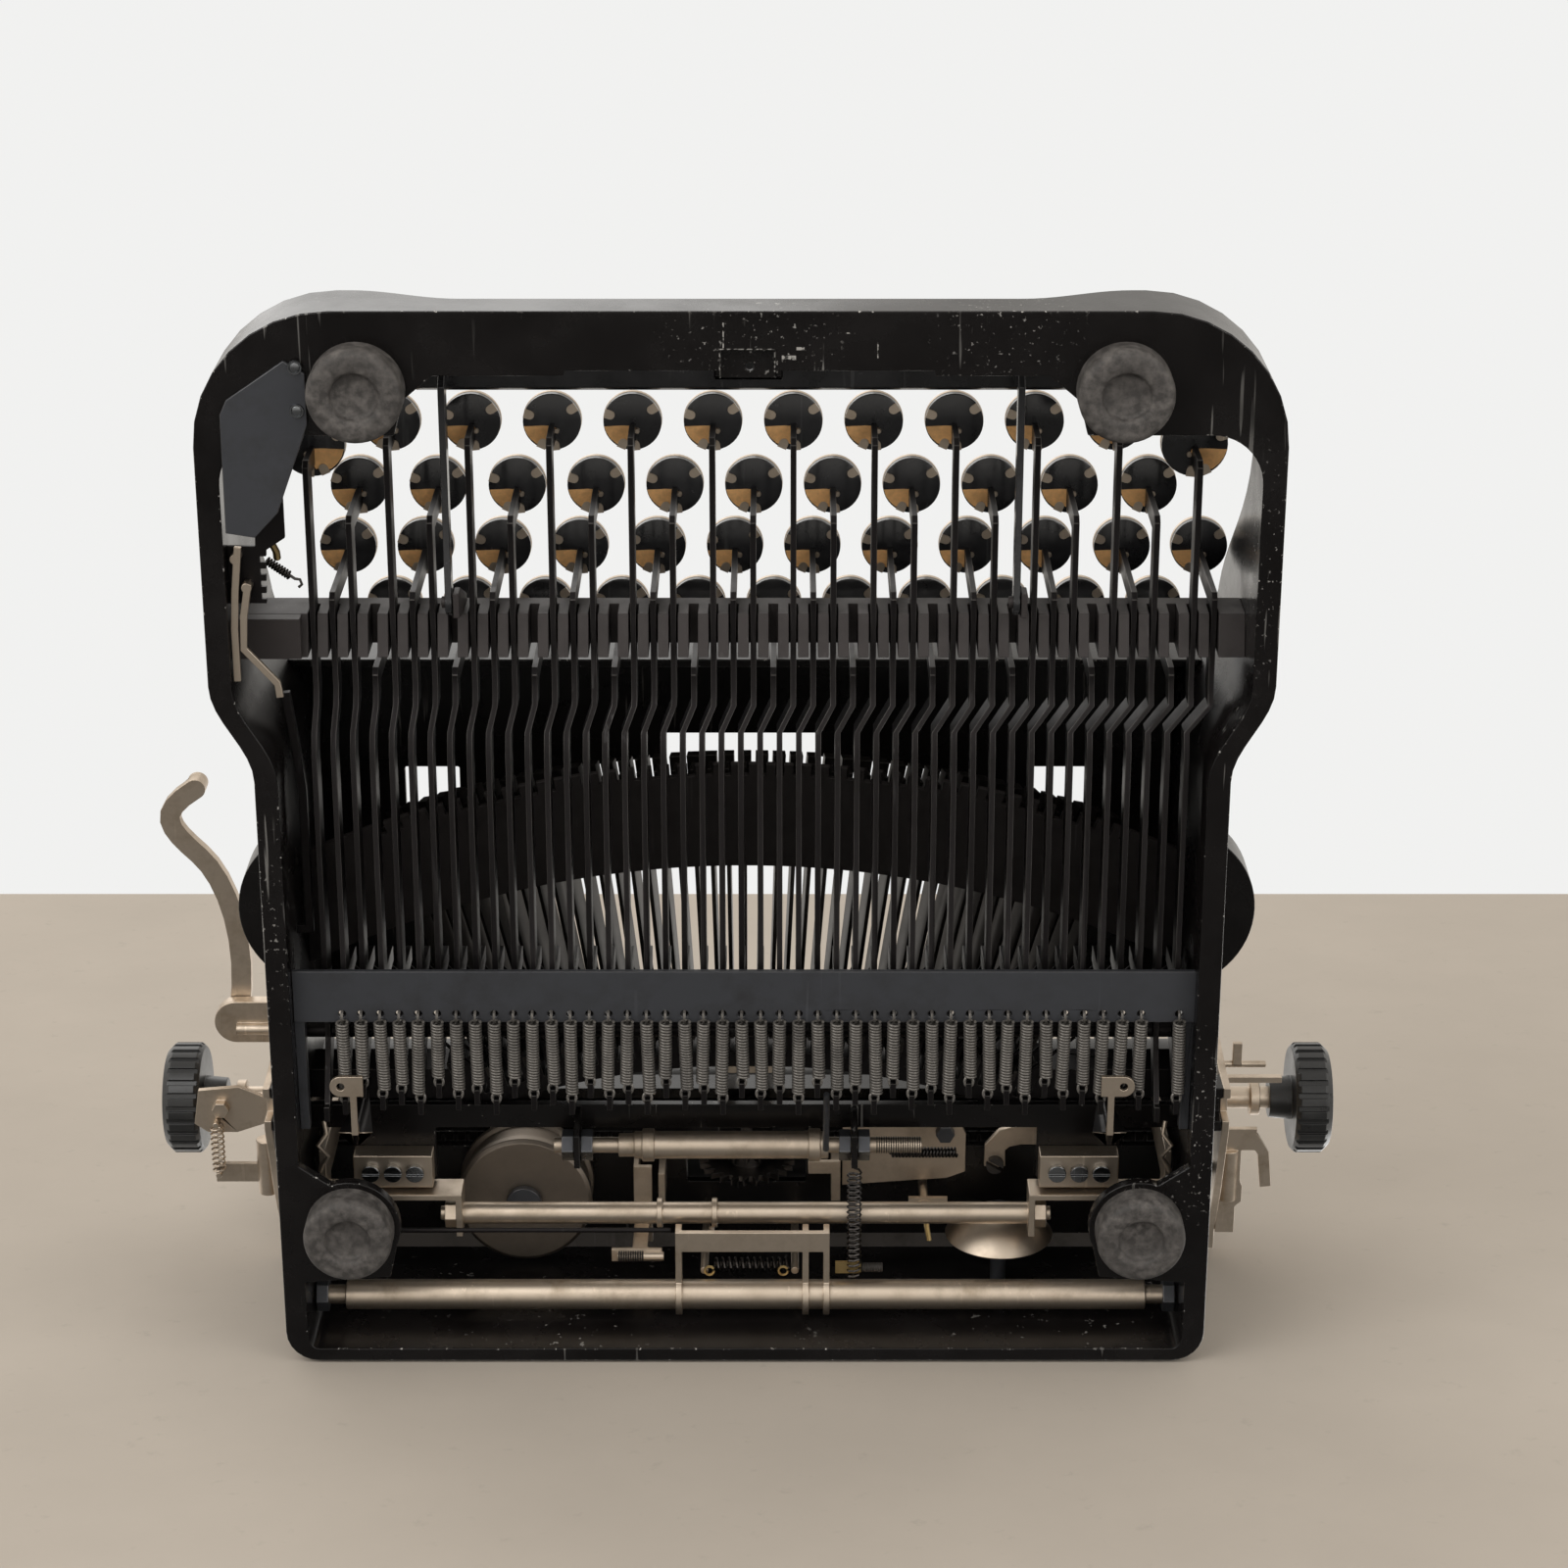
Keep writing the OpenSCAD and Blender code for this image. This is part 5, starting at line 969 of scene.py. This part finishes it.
def key_shapes(radius):
    """The black parts, the plated parts and the card of one key, from below its plate up to its crown."""
    black, bright, card = Shape(), Shape(), Shape()
    black.lathe([(radius * r, h) for r, h in KEY_BODY], KEY_SIDES)
    bright.lathe([(radius * r, h) for r, h in KEY_RING], KEY_SIDES)
    prong = [(radius * PRONG_OUTER, -PRONG_HALF), (radius * PRONG_OUTER, PRONG_HALF)]
    for angle in PRONG_END:
        x, y = on_circle(PRONG_HALF, math.radians(angle))
        prong.append((radius * PRONG_INNER + x, y))
    for turn in PRONG_TURNS:
        bright.plate(prong, PRONG_LOW, PRONG_HIGH, Matrix.Rotation(math.radians(turn), 4, "Z"))
    card.plate([(radius * x, radius * y) for x, y in KEY_CARD], CARD_LOW, CARD_HIGH)
    bright.lathe(PEG, PEG_SIDES, Matrix.Translation((radius * PEG_X, radius * PEG_Y, 0)))
    return black, bright, card


class TYPEWRITER_OT_key_tops(bpy.types.Operator):
    """Make the ringed key tops of every row and the shift keys"""

    bl_idname = "typewriter.key_tops"
    bl_label = "Key tops"

    def execute(self, context):
        keys = settings().keys
        rows = {f"row_{r + 1}": (r, [s for s in row_slots(r) if s != CENTRE_SLOT])
                for r in range(len(ROW_COUNT))}
        rows["centre_key"] = (CENTRE_ROW, [CENTRE_SLOT])
        for body, (row, slots) in rows.items():
            spots = [spot(slot_x(s), ROW_Y + ROW_STEP_Y * row, ROW_H + ROW_STEP_H * row) for s in slots]
            node = body if body == "centre_key" else body + "_keys"
            ride(self.tops(body, spots, keys.diameter), body, "key_black", node)
        for body, slot in SHIFT_SLOTS.items():
            tops = self.tops(body, [spot(slot_x(slot), SHIFT_KEY_Y, SHIFT_KEY_H)], keys.shift_diameter, -1)
            ride(joined(body + "_key_and_lever", [tops, self.lever(body)]), body, "key_black", body)
        return {"FINISHED"}

    def tops(self, body, spots, diameter, side=1):
        """The key tops of one body, with the marks below them mirrored where side is -1."""
        shapes = zip(key_shapes(diameter / 2 / MM), ("key_black", "aged_nickel", "key_card"))
        return joined(body + "_key_tops", [copies(shape, spots, label, side) for shape, label in shapes])

    def lever(self, node):
        """The lever of a shift key without the plain key top above it."""
        name = node + "_lever"
        mesh = edited(merged_copy(node, name), cut_above, SHIFT_KEY_H - LEVER_GAP)
        return round_edges(new_object(name, mesh, STEEL), LEVER_EDGE)


# Key springs, in millimetres: a coil with a hook in front and an open loop behind
SPRING_Y, SPRING_H = 178.2, 3.6
SPRING_LENGTH = (16.5, 14.7, 19.1, 17.9)
SPRING_TILT = (0.015, 0.03, 0.03)
HOOK = ((0, -2.1, 2.3), (0, -2.25, 1.2), (0, -1.95, 0.3), (0, -1.3, 0.0), (0, -0.6, 0.0), (0, 0.1, 0.3),
        (0, 0.4, 0.9))
LOOP_NECK = ((0, -0.5, 0.7), (0, -0.2, 0.3))
LOOP_WIDE, LOOP_HIGH, LOOP_DROP = 1.05, 1.3, 0.5
LOOP_STEPS, LOOP_SHARE = 14, 0.94


def loop_line():
    """The neck and the open ring at the rear end of a spring."""
    angles = [math.tau * k / LOOP_STEPS * LOOP_SHARE for k in range(LOOP_STEPS + 1)]
    return [*LOOP_NECK, *((LOOP_WIDE * math.sin(a), LOOP_HIGH - LOOP_HIGH * math.cos(a),
                           -LOOP_DROP * math.sin(a / 2)) for a in angles)]


class TYPEWRITER_OT_key_springs(bpy.types.Operator):
    """Wind the row of key springs and their hooks"""

    bl_idname = "typewriter.key_springs"
    bl_label = "Key springs"

    def execute(self, context):
        spring = settings().springs
        hook, loop = Shape(), Shape()
        hook.tube(HOOK, spring.wire / MM, WIRE_SIDES)
        loop.tube(loop_line(), spring.wire / MM, WIRE_SIDES)
        parts = []
        for row, length in enumerate(SPRING_LENGTH):
            places = [rear_x(s) for s in row_slots(row)]
            starts = [spot(x, SPRING_Y, SPRING_H, (-math.pi / 2, 0, 0)) for x in places]
            parts.append(coils(starts, "spring_steel", round(length * MM / spring.pitch), spring.coil,
                               spring.wire, length * MM, Tilt=SPRING_TILT, Seed=spring.seed + row))
            for shape, y in ((hook, SPRING_Y), (loop, SPRING_Y + length)):
                parts.append(copies(shape, [spot(x, y, SPRING_H) for x in places], "spring_steel"))
        ride(joined("key_spring_row", parts), "frame", "spring_steel", "key_springs")
        return {"FINISHED"}


# Feet, in millimetres, with a rim that is worn by small random amounts
FOOT_SPOTS = ((-87, 18), (87, 18), (-98, 233), (98, 233))
FOOT_HEIGHT = 8
FOOT_PROFILE = ((0, 2.1), (4.6, 2.1), (5.2, 1.9), (5.45, 1.3), (5.65, 0.5), (6.2, 0.05), (7.5, 0.0),
                (9.3, 0.0), (10.1, 0.25), (10.7, 0.9), (11.0, 2.0), (11.0, 5.0), (11.0, 8.0), (6.0, 8.0),
                (0, 8.0))
FOOT_SIDES = 48
FOOT_SHARP = 50
FOOT_SEED = 5
WEAR_BELOW, WEAR_MOST = 0.3, 0.12


class TYPEWRITER_OT_feet(bpy.types.Operator):
    """Mould the worn rubber feet"""

    bl_idname = "typewriter.feet"
    bl_label = "Feet"

    def execute(self, context):
        shape = Shape()
        rng = random.Random(FOOT_SEED)
        for x, y in FOOT_SPOTS:
            shape.lathe(FOOT_PROFILE, FOOT_SIDES, Matrix.Translation((x, y, -FOOT_HEIGHT)))
        mesh = shape.mesh("rubber_feet")
        for vertex in mesh.vertices:
            vertex.co += Vector((0, FRONT_EDGE, RIM))
            if vertex.co.z < WEAR_BELOW * MM:
                vertex.co.z += rng.uniform(0, WEAR_MOST) * MM
        piece = new_object("rubber_feet", mesh, ("foot_rubber",))
        smooth_faces(piece, FOOT_SHARP)
        ride(piece, "frame", "foot_rubber", "feet")
        return {"FINISHED"}


# Small parts, in millimetres. Wires have a radius, a number of sides and the points of their lines.
SIDE_WIRE = ((105.0, 210, 13), (104.4, 213, 12), (106.6, 216, 11.5), (104.2, 219, 11.5), (106.0, 222, 12),
             (106.6, 224, 13))
CRADLE_WIRE = ((-8.6, 243.9, 20.4), (-8.6, 245.6, 20.0), (-7.2, 246.6, 20.0), (5.8, 246.6, 20.0),
               (6.6, 246.0, 20.6))
CRADLE_RADIUS, CRADLE_SIDES = 0.7, 8
EYE_X, EYE_Y, EYE_H = (-9.3, 9.6), 256.4, 20
EYE_RADIUS, EYE_STEPS, EYE_WIRE = 1.2, 12, 0.35
WIRES = {
    "aged_nickel": [(0.6, 8, [(side * x, y, h) for x, y, h in SIDE_WIRE]) for side in (-1, 1)],
    "old_screw": [(0.35, 6, ((-106.2, 66.3, 12), (-105, 67.2, 12), (-103.8, 67.4, 12), (-103.4, 68.6, 12),
                             (-104.2, 69.3, 12)))],
    "brass": [(0.7, 8, ((46.5, 248, 34), (46.8, 251, 33.4), (47.4, 254.5, 32.6))),
              (0.9, 8, ((-110, 55.6, 9), (-109.6, 58, 10), (-108.8, 60, 10.5), (-108.8, 62, 11.5)))],
    "screw_steel": [],
}
# Plates have an outline and two heights; turned pieces a place in plan, a number of sides and a profile
BELL_TAB = (((42, 243.0), (52, 243.0), (52, 244.6), (48, 244.6), (48, 247.5), (44, 247.5), (44, 244.6),
             (42, 244.6)), 34, 35.2)
BRASS_TAB = (((22.9, 252.6), (29.4, 252.6), (29.4, 255.8), (22.9, 255.8)), 17.6, 18.4)
RIVET = ((0, -1.45), (0.9, -1.45), (1.2, -1.3), (1.3, -1.6), (1.6, -1.6), (1.75, -1.15), (0, -1.15))
TURNED = {
    "aged_nickel": [(46, 246.5, 24, ((0, 33.2), (2.8, 33.2), (3.0, 33.5), (3.0, 34.0), (0, 34.0))),
                    (46, 244.5, 12, ((0, 35.2), (1.2, 35.2), (1.2, 50.2), (0, 50.2)))],
    "screw_steel": [(-100.7, y, 20, RIVET) for y in (12.7, 22.8)],
}
# Threaded studs along X: start, end, y, h and radius
THREADS = ((33.0, 44.4, 221.3, 22, 2.2), (-32.8, -26.0, 254.2, 23.6, 1.45), (29.6, 35.2, 254.6, 18.6, 1.3))
THREAD_PITCH, THREAD_ROOT, THREAD_SIDES = 0.6, 0.82, 16
HEAD_PLACE, HEAD_RADIUS, HEAD_DEEP, HEAD_TURN = (64.6, 237.6, 41.4), 2.3, 1.6, 35
HEAD_HALF = range(8, 173, 12)
# Coils along X: place, turn about Z, turns, radius, wire and length
SMALL_COILS = (((37, 227.6, 30), 0, 20, 1.1, 0.36, 17), ((-111.4, 62.7, 12), 0.616, 9, 0.85, 0.3, 6.5))


def thread(shape, start, end, y, h, radius):
    """A threaded stud along X."""
    count = int((end - start) / THREAD_PITCH)
    profile = [(0, 0)]
    for k in range(count):
        profile += [(radius * THREAD_ROOT, k * THREAD_PITCH), (radius, (k + 0.5) * THREAD_PITCH)]
    profile += [(radius * THREAD_ROOT, count * THREAD_PITCH), (0, count * THREAD_PITCH)]
    lay = Matrix.Rotation(math.pi / 2, 4, "Y")
    shape.lathe(profile, THREAD_SIDES, Matrix.Translation((start, y, h)) @ lay)


def slotted_head(shape):
    """A screw head that faces down, as two half discs with a slot between them."""
    half = [on_circle(HEAD_RADIUS, math.radians(a)) for a in HEAD_HALF]
    for side in (0, 180):
        turn = Matrix.Rotation(math.radians(HEAD_TURN + side), 4, "Z")
        shape.plate(half, 0, HEAD_DEEP, Matrix.Translation(HEAD_PLACE) @ turn)


class TYPEWRITER_OT_small_parts(bpy.types.Operator):
    """Add the threads, rivets, wires, tabs and small springs"""

    bl_idname = "typewriter.small_parts"
    bl_label = "Small parts"

    def execute(self, context):
        shapes = {label: Shape() for label in WIRES}
        for label, shape in shapes.items():
            for radius, sides, line in WIRES[label]:
                shape.tube(line, radius, sides)
            for x, y, sides, profile in TURNED.get(label, ()):
                shape.lathe(profile, sides, Matrix.Translation((x, y, 0)))
        shapes["aged_nickel"].plate(*BELL_TAB)
        shapes["brass"].plate(*BRASS_TAB)
        for x in EYE_X:
            turns = [on_circle(EYE_RADIUS, math.tau * k / EYE_STEPS) for k in range(EYE_STEPS)]
            shapes["brass"].tube([(x + a, EYE_Y + b, EYE_H) for a, b in turns], EYE_WIRE, WIRE_SIDES)
        for stud in THREADS:
            thread(shapes["old_screw"], *stud)
        slotted_head(shapes["old_screw"])
        cradle = Shape()
        cradle.tube(CRADLE_WIRE, CRADLE_RADIUS, CRADLE_SIDES)
        pieces = [self.piece("small_" + label, shape, label) for label, shape in shapes.items()]
        wire = self.piece("bail_wire", cradle, "aged_nickel")
        for middle, turn, turns, radius, thick, length in SMALL_COILS:
            pieces.append(coils([spot(*middle, (0, math.pi / 2, turn))], "dark_spring", turns, radius * MM,
                                thick * MM, length * MM))
        ride(joined("small_parts", pieces), "frame", "aged_nickel")
        ride(wire, "shift_cradle", "aged_nickel")
        return {"FINISHED"}

    def piece(self, name, shape, label):
        """A shape as an object in its place, with one finish."""
        piece = new_object(name, shape.mesh(name), (label,))
        piece.data.transform(Matrix.Translation(place(0, 0, 0)))
        smooth_faces(piece, SHAPE_SHARP)
        return piece


# Stage, in metres; the backdrop stands at a distance in millimetres behind the front edge
STAGE_HALF = 3
BACKDROP_Y, BACKDROP_TOP = 271.6, 0.468
BACKDROP_LEAN = math.atan2(13.0, 84.0)
LAMP_TARGET = Vector((0, 0, 0.05))
# Lamps: place, size and share of the largest lamp's power
LAMPS = {
    "lamp_front_left": ((-0.75, -0.95, -0.75), 1.1, 1.0),
    "lamp_front_right": ((0.9, -0.5, -0.8), 0.9, 0.45),
    "lamp_above": ((-0.5, -0.6, 1.3), 1.2, 0.4),
    "lamp_behind": ((0.7, 1.0, 0.9), 1.0, 0.5),
}
SKY_COLOUR, SEEN_COLOUR = (1, 0.96, 0.90, 1), (0.88, 0.88, 0.87, 1)
DARK_BEHIND, DARK_BELOW, DARK_SHARE = (-0.15, 0.22), (0.25, -0.35), 0.20
CAMERA_PLACE = (0.0098, -0.3432, -0.7842)
CAMERA_LOOK = Vector((0, 0.3697, 0.9291)).normalized()
SENSOR_WIDTH = 36
VIEW_END = 50


def blend_shaders(tree, factor, first, second, output):
    """Sends a blend of two shaders to a tree's output node."""
    blend = tree.nodes.new("ShaderNodeMixShader")
    for socket, source in zip(blend.inputs, (factor, first.outputs[0], second.outputs[0])):
        tree.links.new(source, socket)
    tree.links.new(blend.outputs[0], tree.nodes[output].inputs["Surface"])


def floor_material(name, colour):
    """Plain floor seen only from its upper side; lamps shine through it."""
    material, tree, shader = blank_material(name)
    cloud = effect(tree, "blotches", Scale=11.0, Detail=9.0, Low=0.30, High=0.72)["Mask"]
    specks = effect(tree, "blotches", Scale=160.0, Detail=6.0, Low=0.62, High=0.74)["Mask"]
    broad = mix_colour(tree, cloud, tone(colour, 0.95), tone(colour, 1.05))
    tint = mix_colour(tree, times(tree, specks, 0.35), broad, tone(colour, 0.72))
    tree.links.new(tint, shader.inputs["Base Color"])
    shader.inputs["Roughness"].default_value = 0.9
    path = tree.nodes.new("ShaderNodeLightPath").outputs
    side = tree.nodes.new("ShaderNodeNewGeometry").outputs
    front = math_node(tree, "SUBTRACT", 1.0, side["Backfacing"])
    shown = times(tree, path["Is Camera Ray"], front)
    clear = tree.nodes.new("ShaderNodeBsdfTransparent")
    blend_shaders(tree, shown, clear, shader, "Material Output")
    return material


class TYPEWRITER_OT_stage(bpy.types.Operator):
    """Set the floor, the lamps, the even light and the camera"""

    bl_idname = "typewriter.stage"
    bl_label = "Stage"

    def execute(self, context):
        stage = settings().stage
        scene = context.scene
        scene.view_settings.view_transform = "Standard"
        self.plane("floor", Matrix.Identity(4), stage.floor, STAGE_HALF)
        raised = Matrix.Rotation(math.pi / 2 - BACKDROP_LEAN, 4, "X")
        stand = Matrix.Translation(place(0, BACKDROP_Y, 0)) @ raised
        self.plane("backdrop", stand, stage.backdrop, BACKDROP_TOP)
        for name, (position, size, share) in LAMPS.items():
            self.lamp(name, position, size, stage.key_power * share)
        self.sky(scene, stage.fill)
        data = bpy.data.cameras.new("camera")
        data.sensor_width = SENSOR_WIDTH
        data.lens = stage.lens
        data.clip_end = VIEW_END
        scene.camera = new_object("camera", data)
        right = Vector((1, 0, 0))
        turn = Matrix((right, right.cross(CAMERA_LOOK), -CAMERA_LOOK)).transposed().to_4x4()
        scene.camera.matrix_world = Matrix.Translation(CAMERA_PLACE) @ turn
        return {"FINISHED"}

    def plane(self, name, matrix, colour, far):
        """A wide sheet up to a distance from its middle line, as part of the stage."""
        left, right, close = -STAGE_HALF, STAGE_HALF, -STAGE_HALF
        corners = ((left, close), (right, close), (right, far), (left, far))
        mesh = bpy.data.meshes.new(name)
        mesh.from_pydata([matrix @ Vector((x, y, 0)) for x, y in corners], [], [(0, 1, 2, 3)])
        mesh.materials.append(floor_material(name, colour))
        new_object(name, mesh)

    def lamp(self, name, position, size, power):
        """A round lamp turned to the machine."""
        data = bpy.data.lights.new(name, "AREA")
        data.shape = "DISK"
        data.size = size
        data.energy = power
        piece = new_object(name, data)
        piece.location = position
        piece.rotation_euler = (LAMP_TARGET - Vector(position)).to_track_quat("-Z", "Y").to_euler()

    def sky(self, scene, fill):
        """Even light that is weaker from behind and below, with a plain tone for the camera."""
        world = bpy.data.worlds.new("sky")
        scene.world = world
        world.use_nodes = True
        tree = world.node_tree
        point = tree.nodes.new("ShaderNodeTexCoord").outputs["Generated"]
        way = new_node(tree, "ShaderNodeSeparateXYZ", Vector=point).outputs
        dark = times(tree, ramp(tree, way["Y"], *DARK_BEHIND), ramp(tree, way["Z"], *DARK_BELOW))
        light = tree.nodes["Background"]
        give(tree, light.inputs["Color"], SKY_COLOUR)
        give(tree, light.inputs["Strength"], between(tree, dark, fill, fill * DARK_SHARE))
        seen = new_node(tree, "ShaderNodeBackground", Color=SEEN_COLOUR, Strength=1.0)
        path = tree.nodes.new("ShaderNodeLightPath").outputs
        shown = highest(tree, [path["Is Camera Ray"], path["Is Transmission Ray"]])
        blend_shaders(tree, shown, light, seen, "World Output")


class TypewriterSettings(bpy.types.PropertyGroup):
    """All settings of the dress."""

    finish: bpy.props.PointerProperty(type=FinishSettings)
    keys: bpy.props.PointerProperty(type=KeySettings)
    springs: bpy.props.PointerProperty(type=SpringSettings)
    stage: bpy.props.PointerProperty(type=StageSettings)


PIECES = (TYPEWRITER_OT_finishes, TYPEWRITER_OT_rounded_solids, TYPEWRITER_OT_key_tops,
          TYPEWRITER_OT_key_springs, TYPEWRITER_OT_feet, TYPEWRITER_OT_small_parts, TYPEWRITER_OT_stage)


class TYPEWRITER_PT_panel(bpy.types.Panel):
    """Settings and pieces of the typewriter"""

    bl_idname = "TYPEWRITER_PT_panel"
    bl_label = "Typewriter"
    bl_space_type = "VIEW_3D"
    bl_region_type = "UI"
    bl_category = "Typewriter"

    def draw(self, context):
        chosen = context.scene.typewriter
        for group in (chosen.finish, chosen.keys, chosen.springs, chosen.stage):
            box = self.layout.box()
            for label in group.__annotations__:
                box.prop(group, label)
        for piece in PIECES:
            self.layout.operator(piece.bl_idname)


CLASSES = (FinishSettings, KeySettings, SpringSettings, StageSettings, TypewriterSettings, *PIECES,
           TYPEWRITER_PT_panel)


def register():
    for item in CLASSES:
        bpy.utils.register_class(item)
    bpy.types.Scene.typewriter = bpy.props.PointerProperty(type=TypewriterSettings)


def unregister():
    del bpy.types.Scene.typewriter
    for item in reversed(CLASSES):
        bpy.utils.unregister_class(item)


def main():
    register()
    bpy.ops.typewriter.finishes()
    bpy.ops.typewriter.rounded_solids()
    bpy.ops.typewriter.key_tops()
    bpy.ops.typewriter.key_springs()
    bpy.ops.typewriter.feet()
    bpy.ops.typewriter.small_parts()
    bpy.ops.typewriter.stage()


if __name__ == "__main__":
    main()
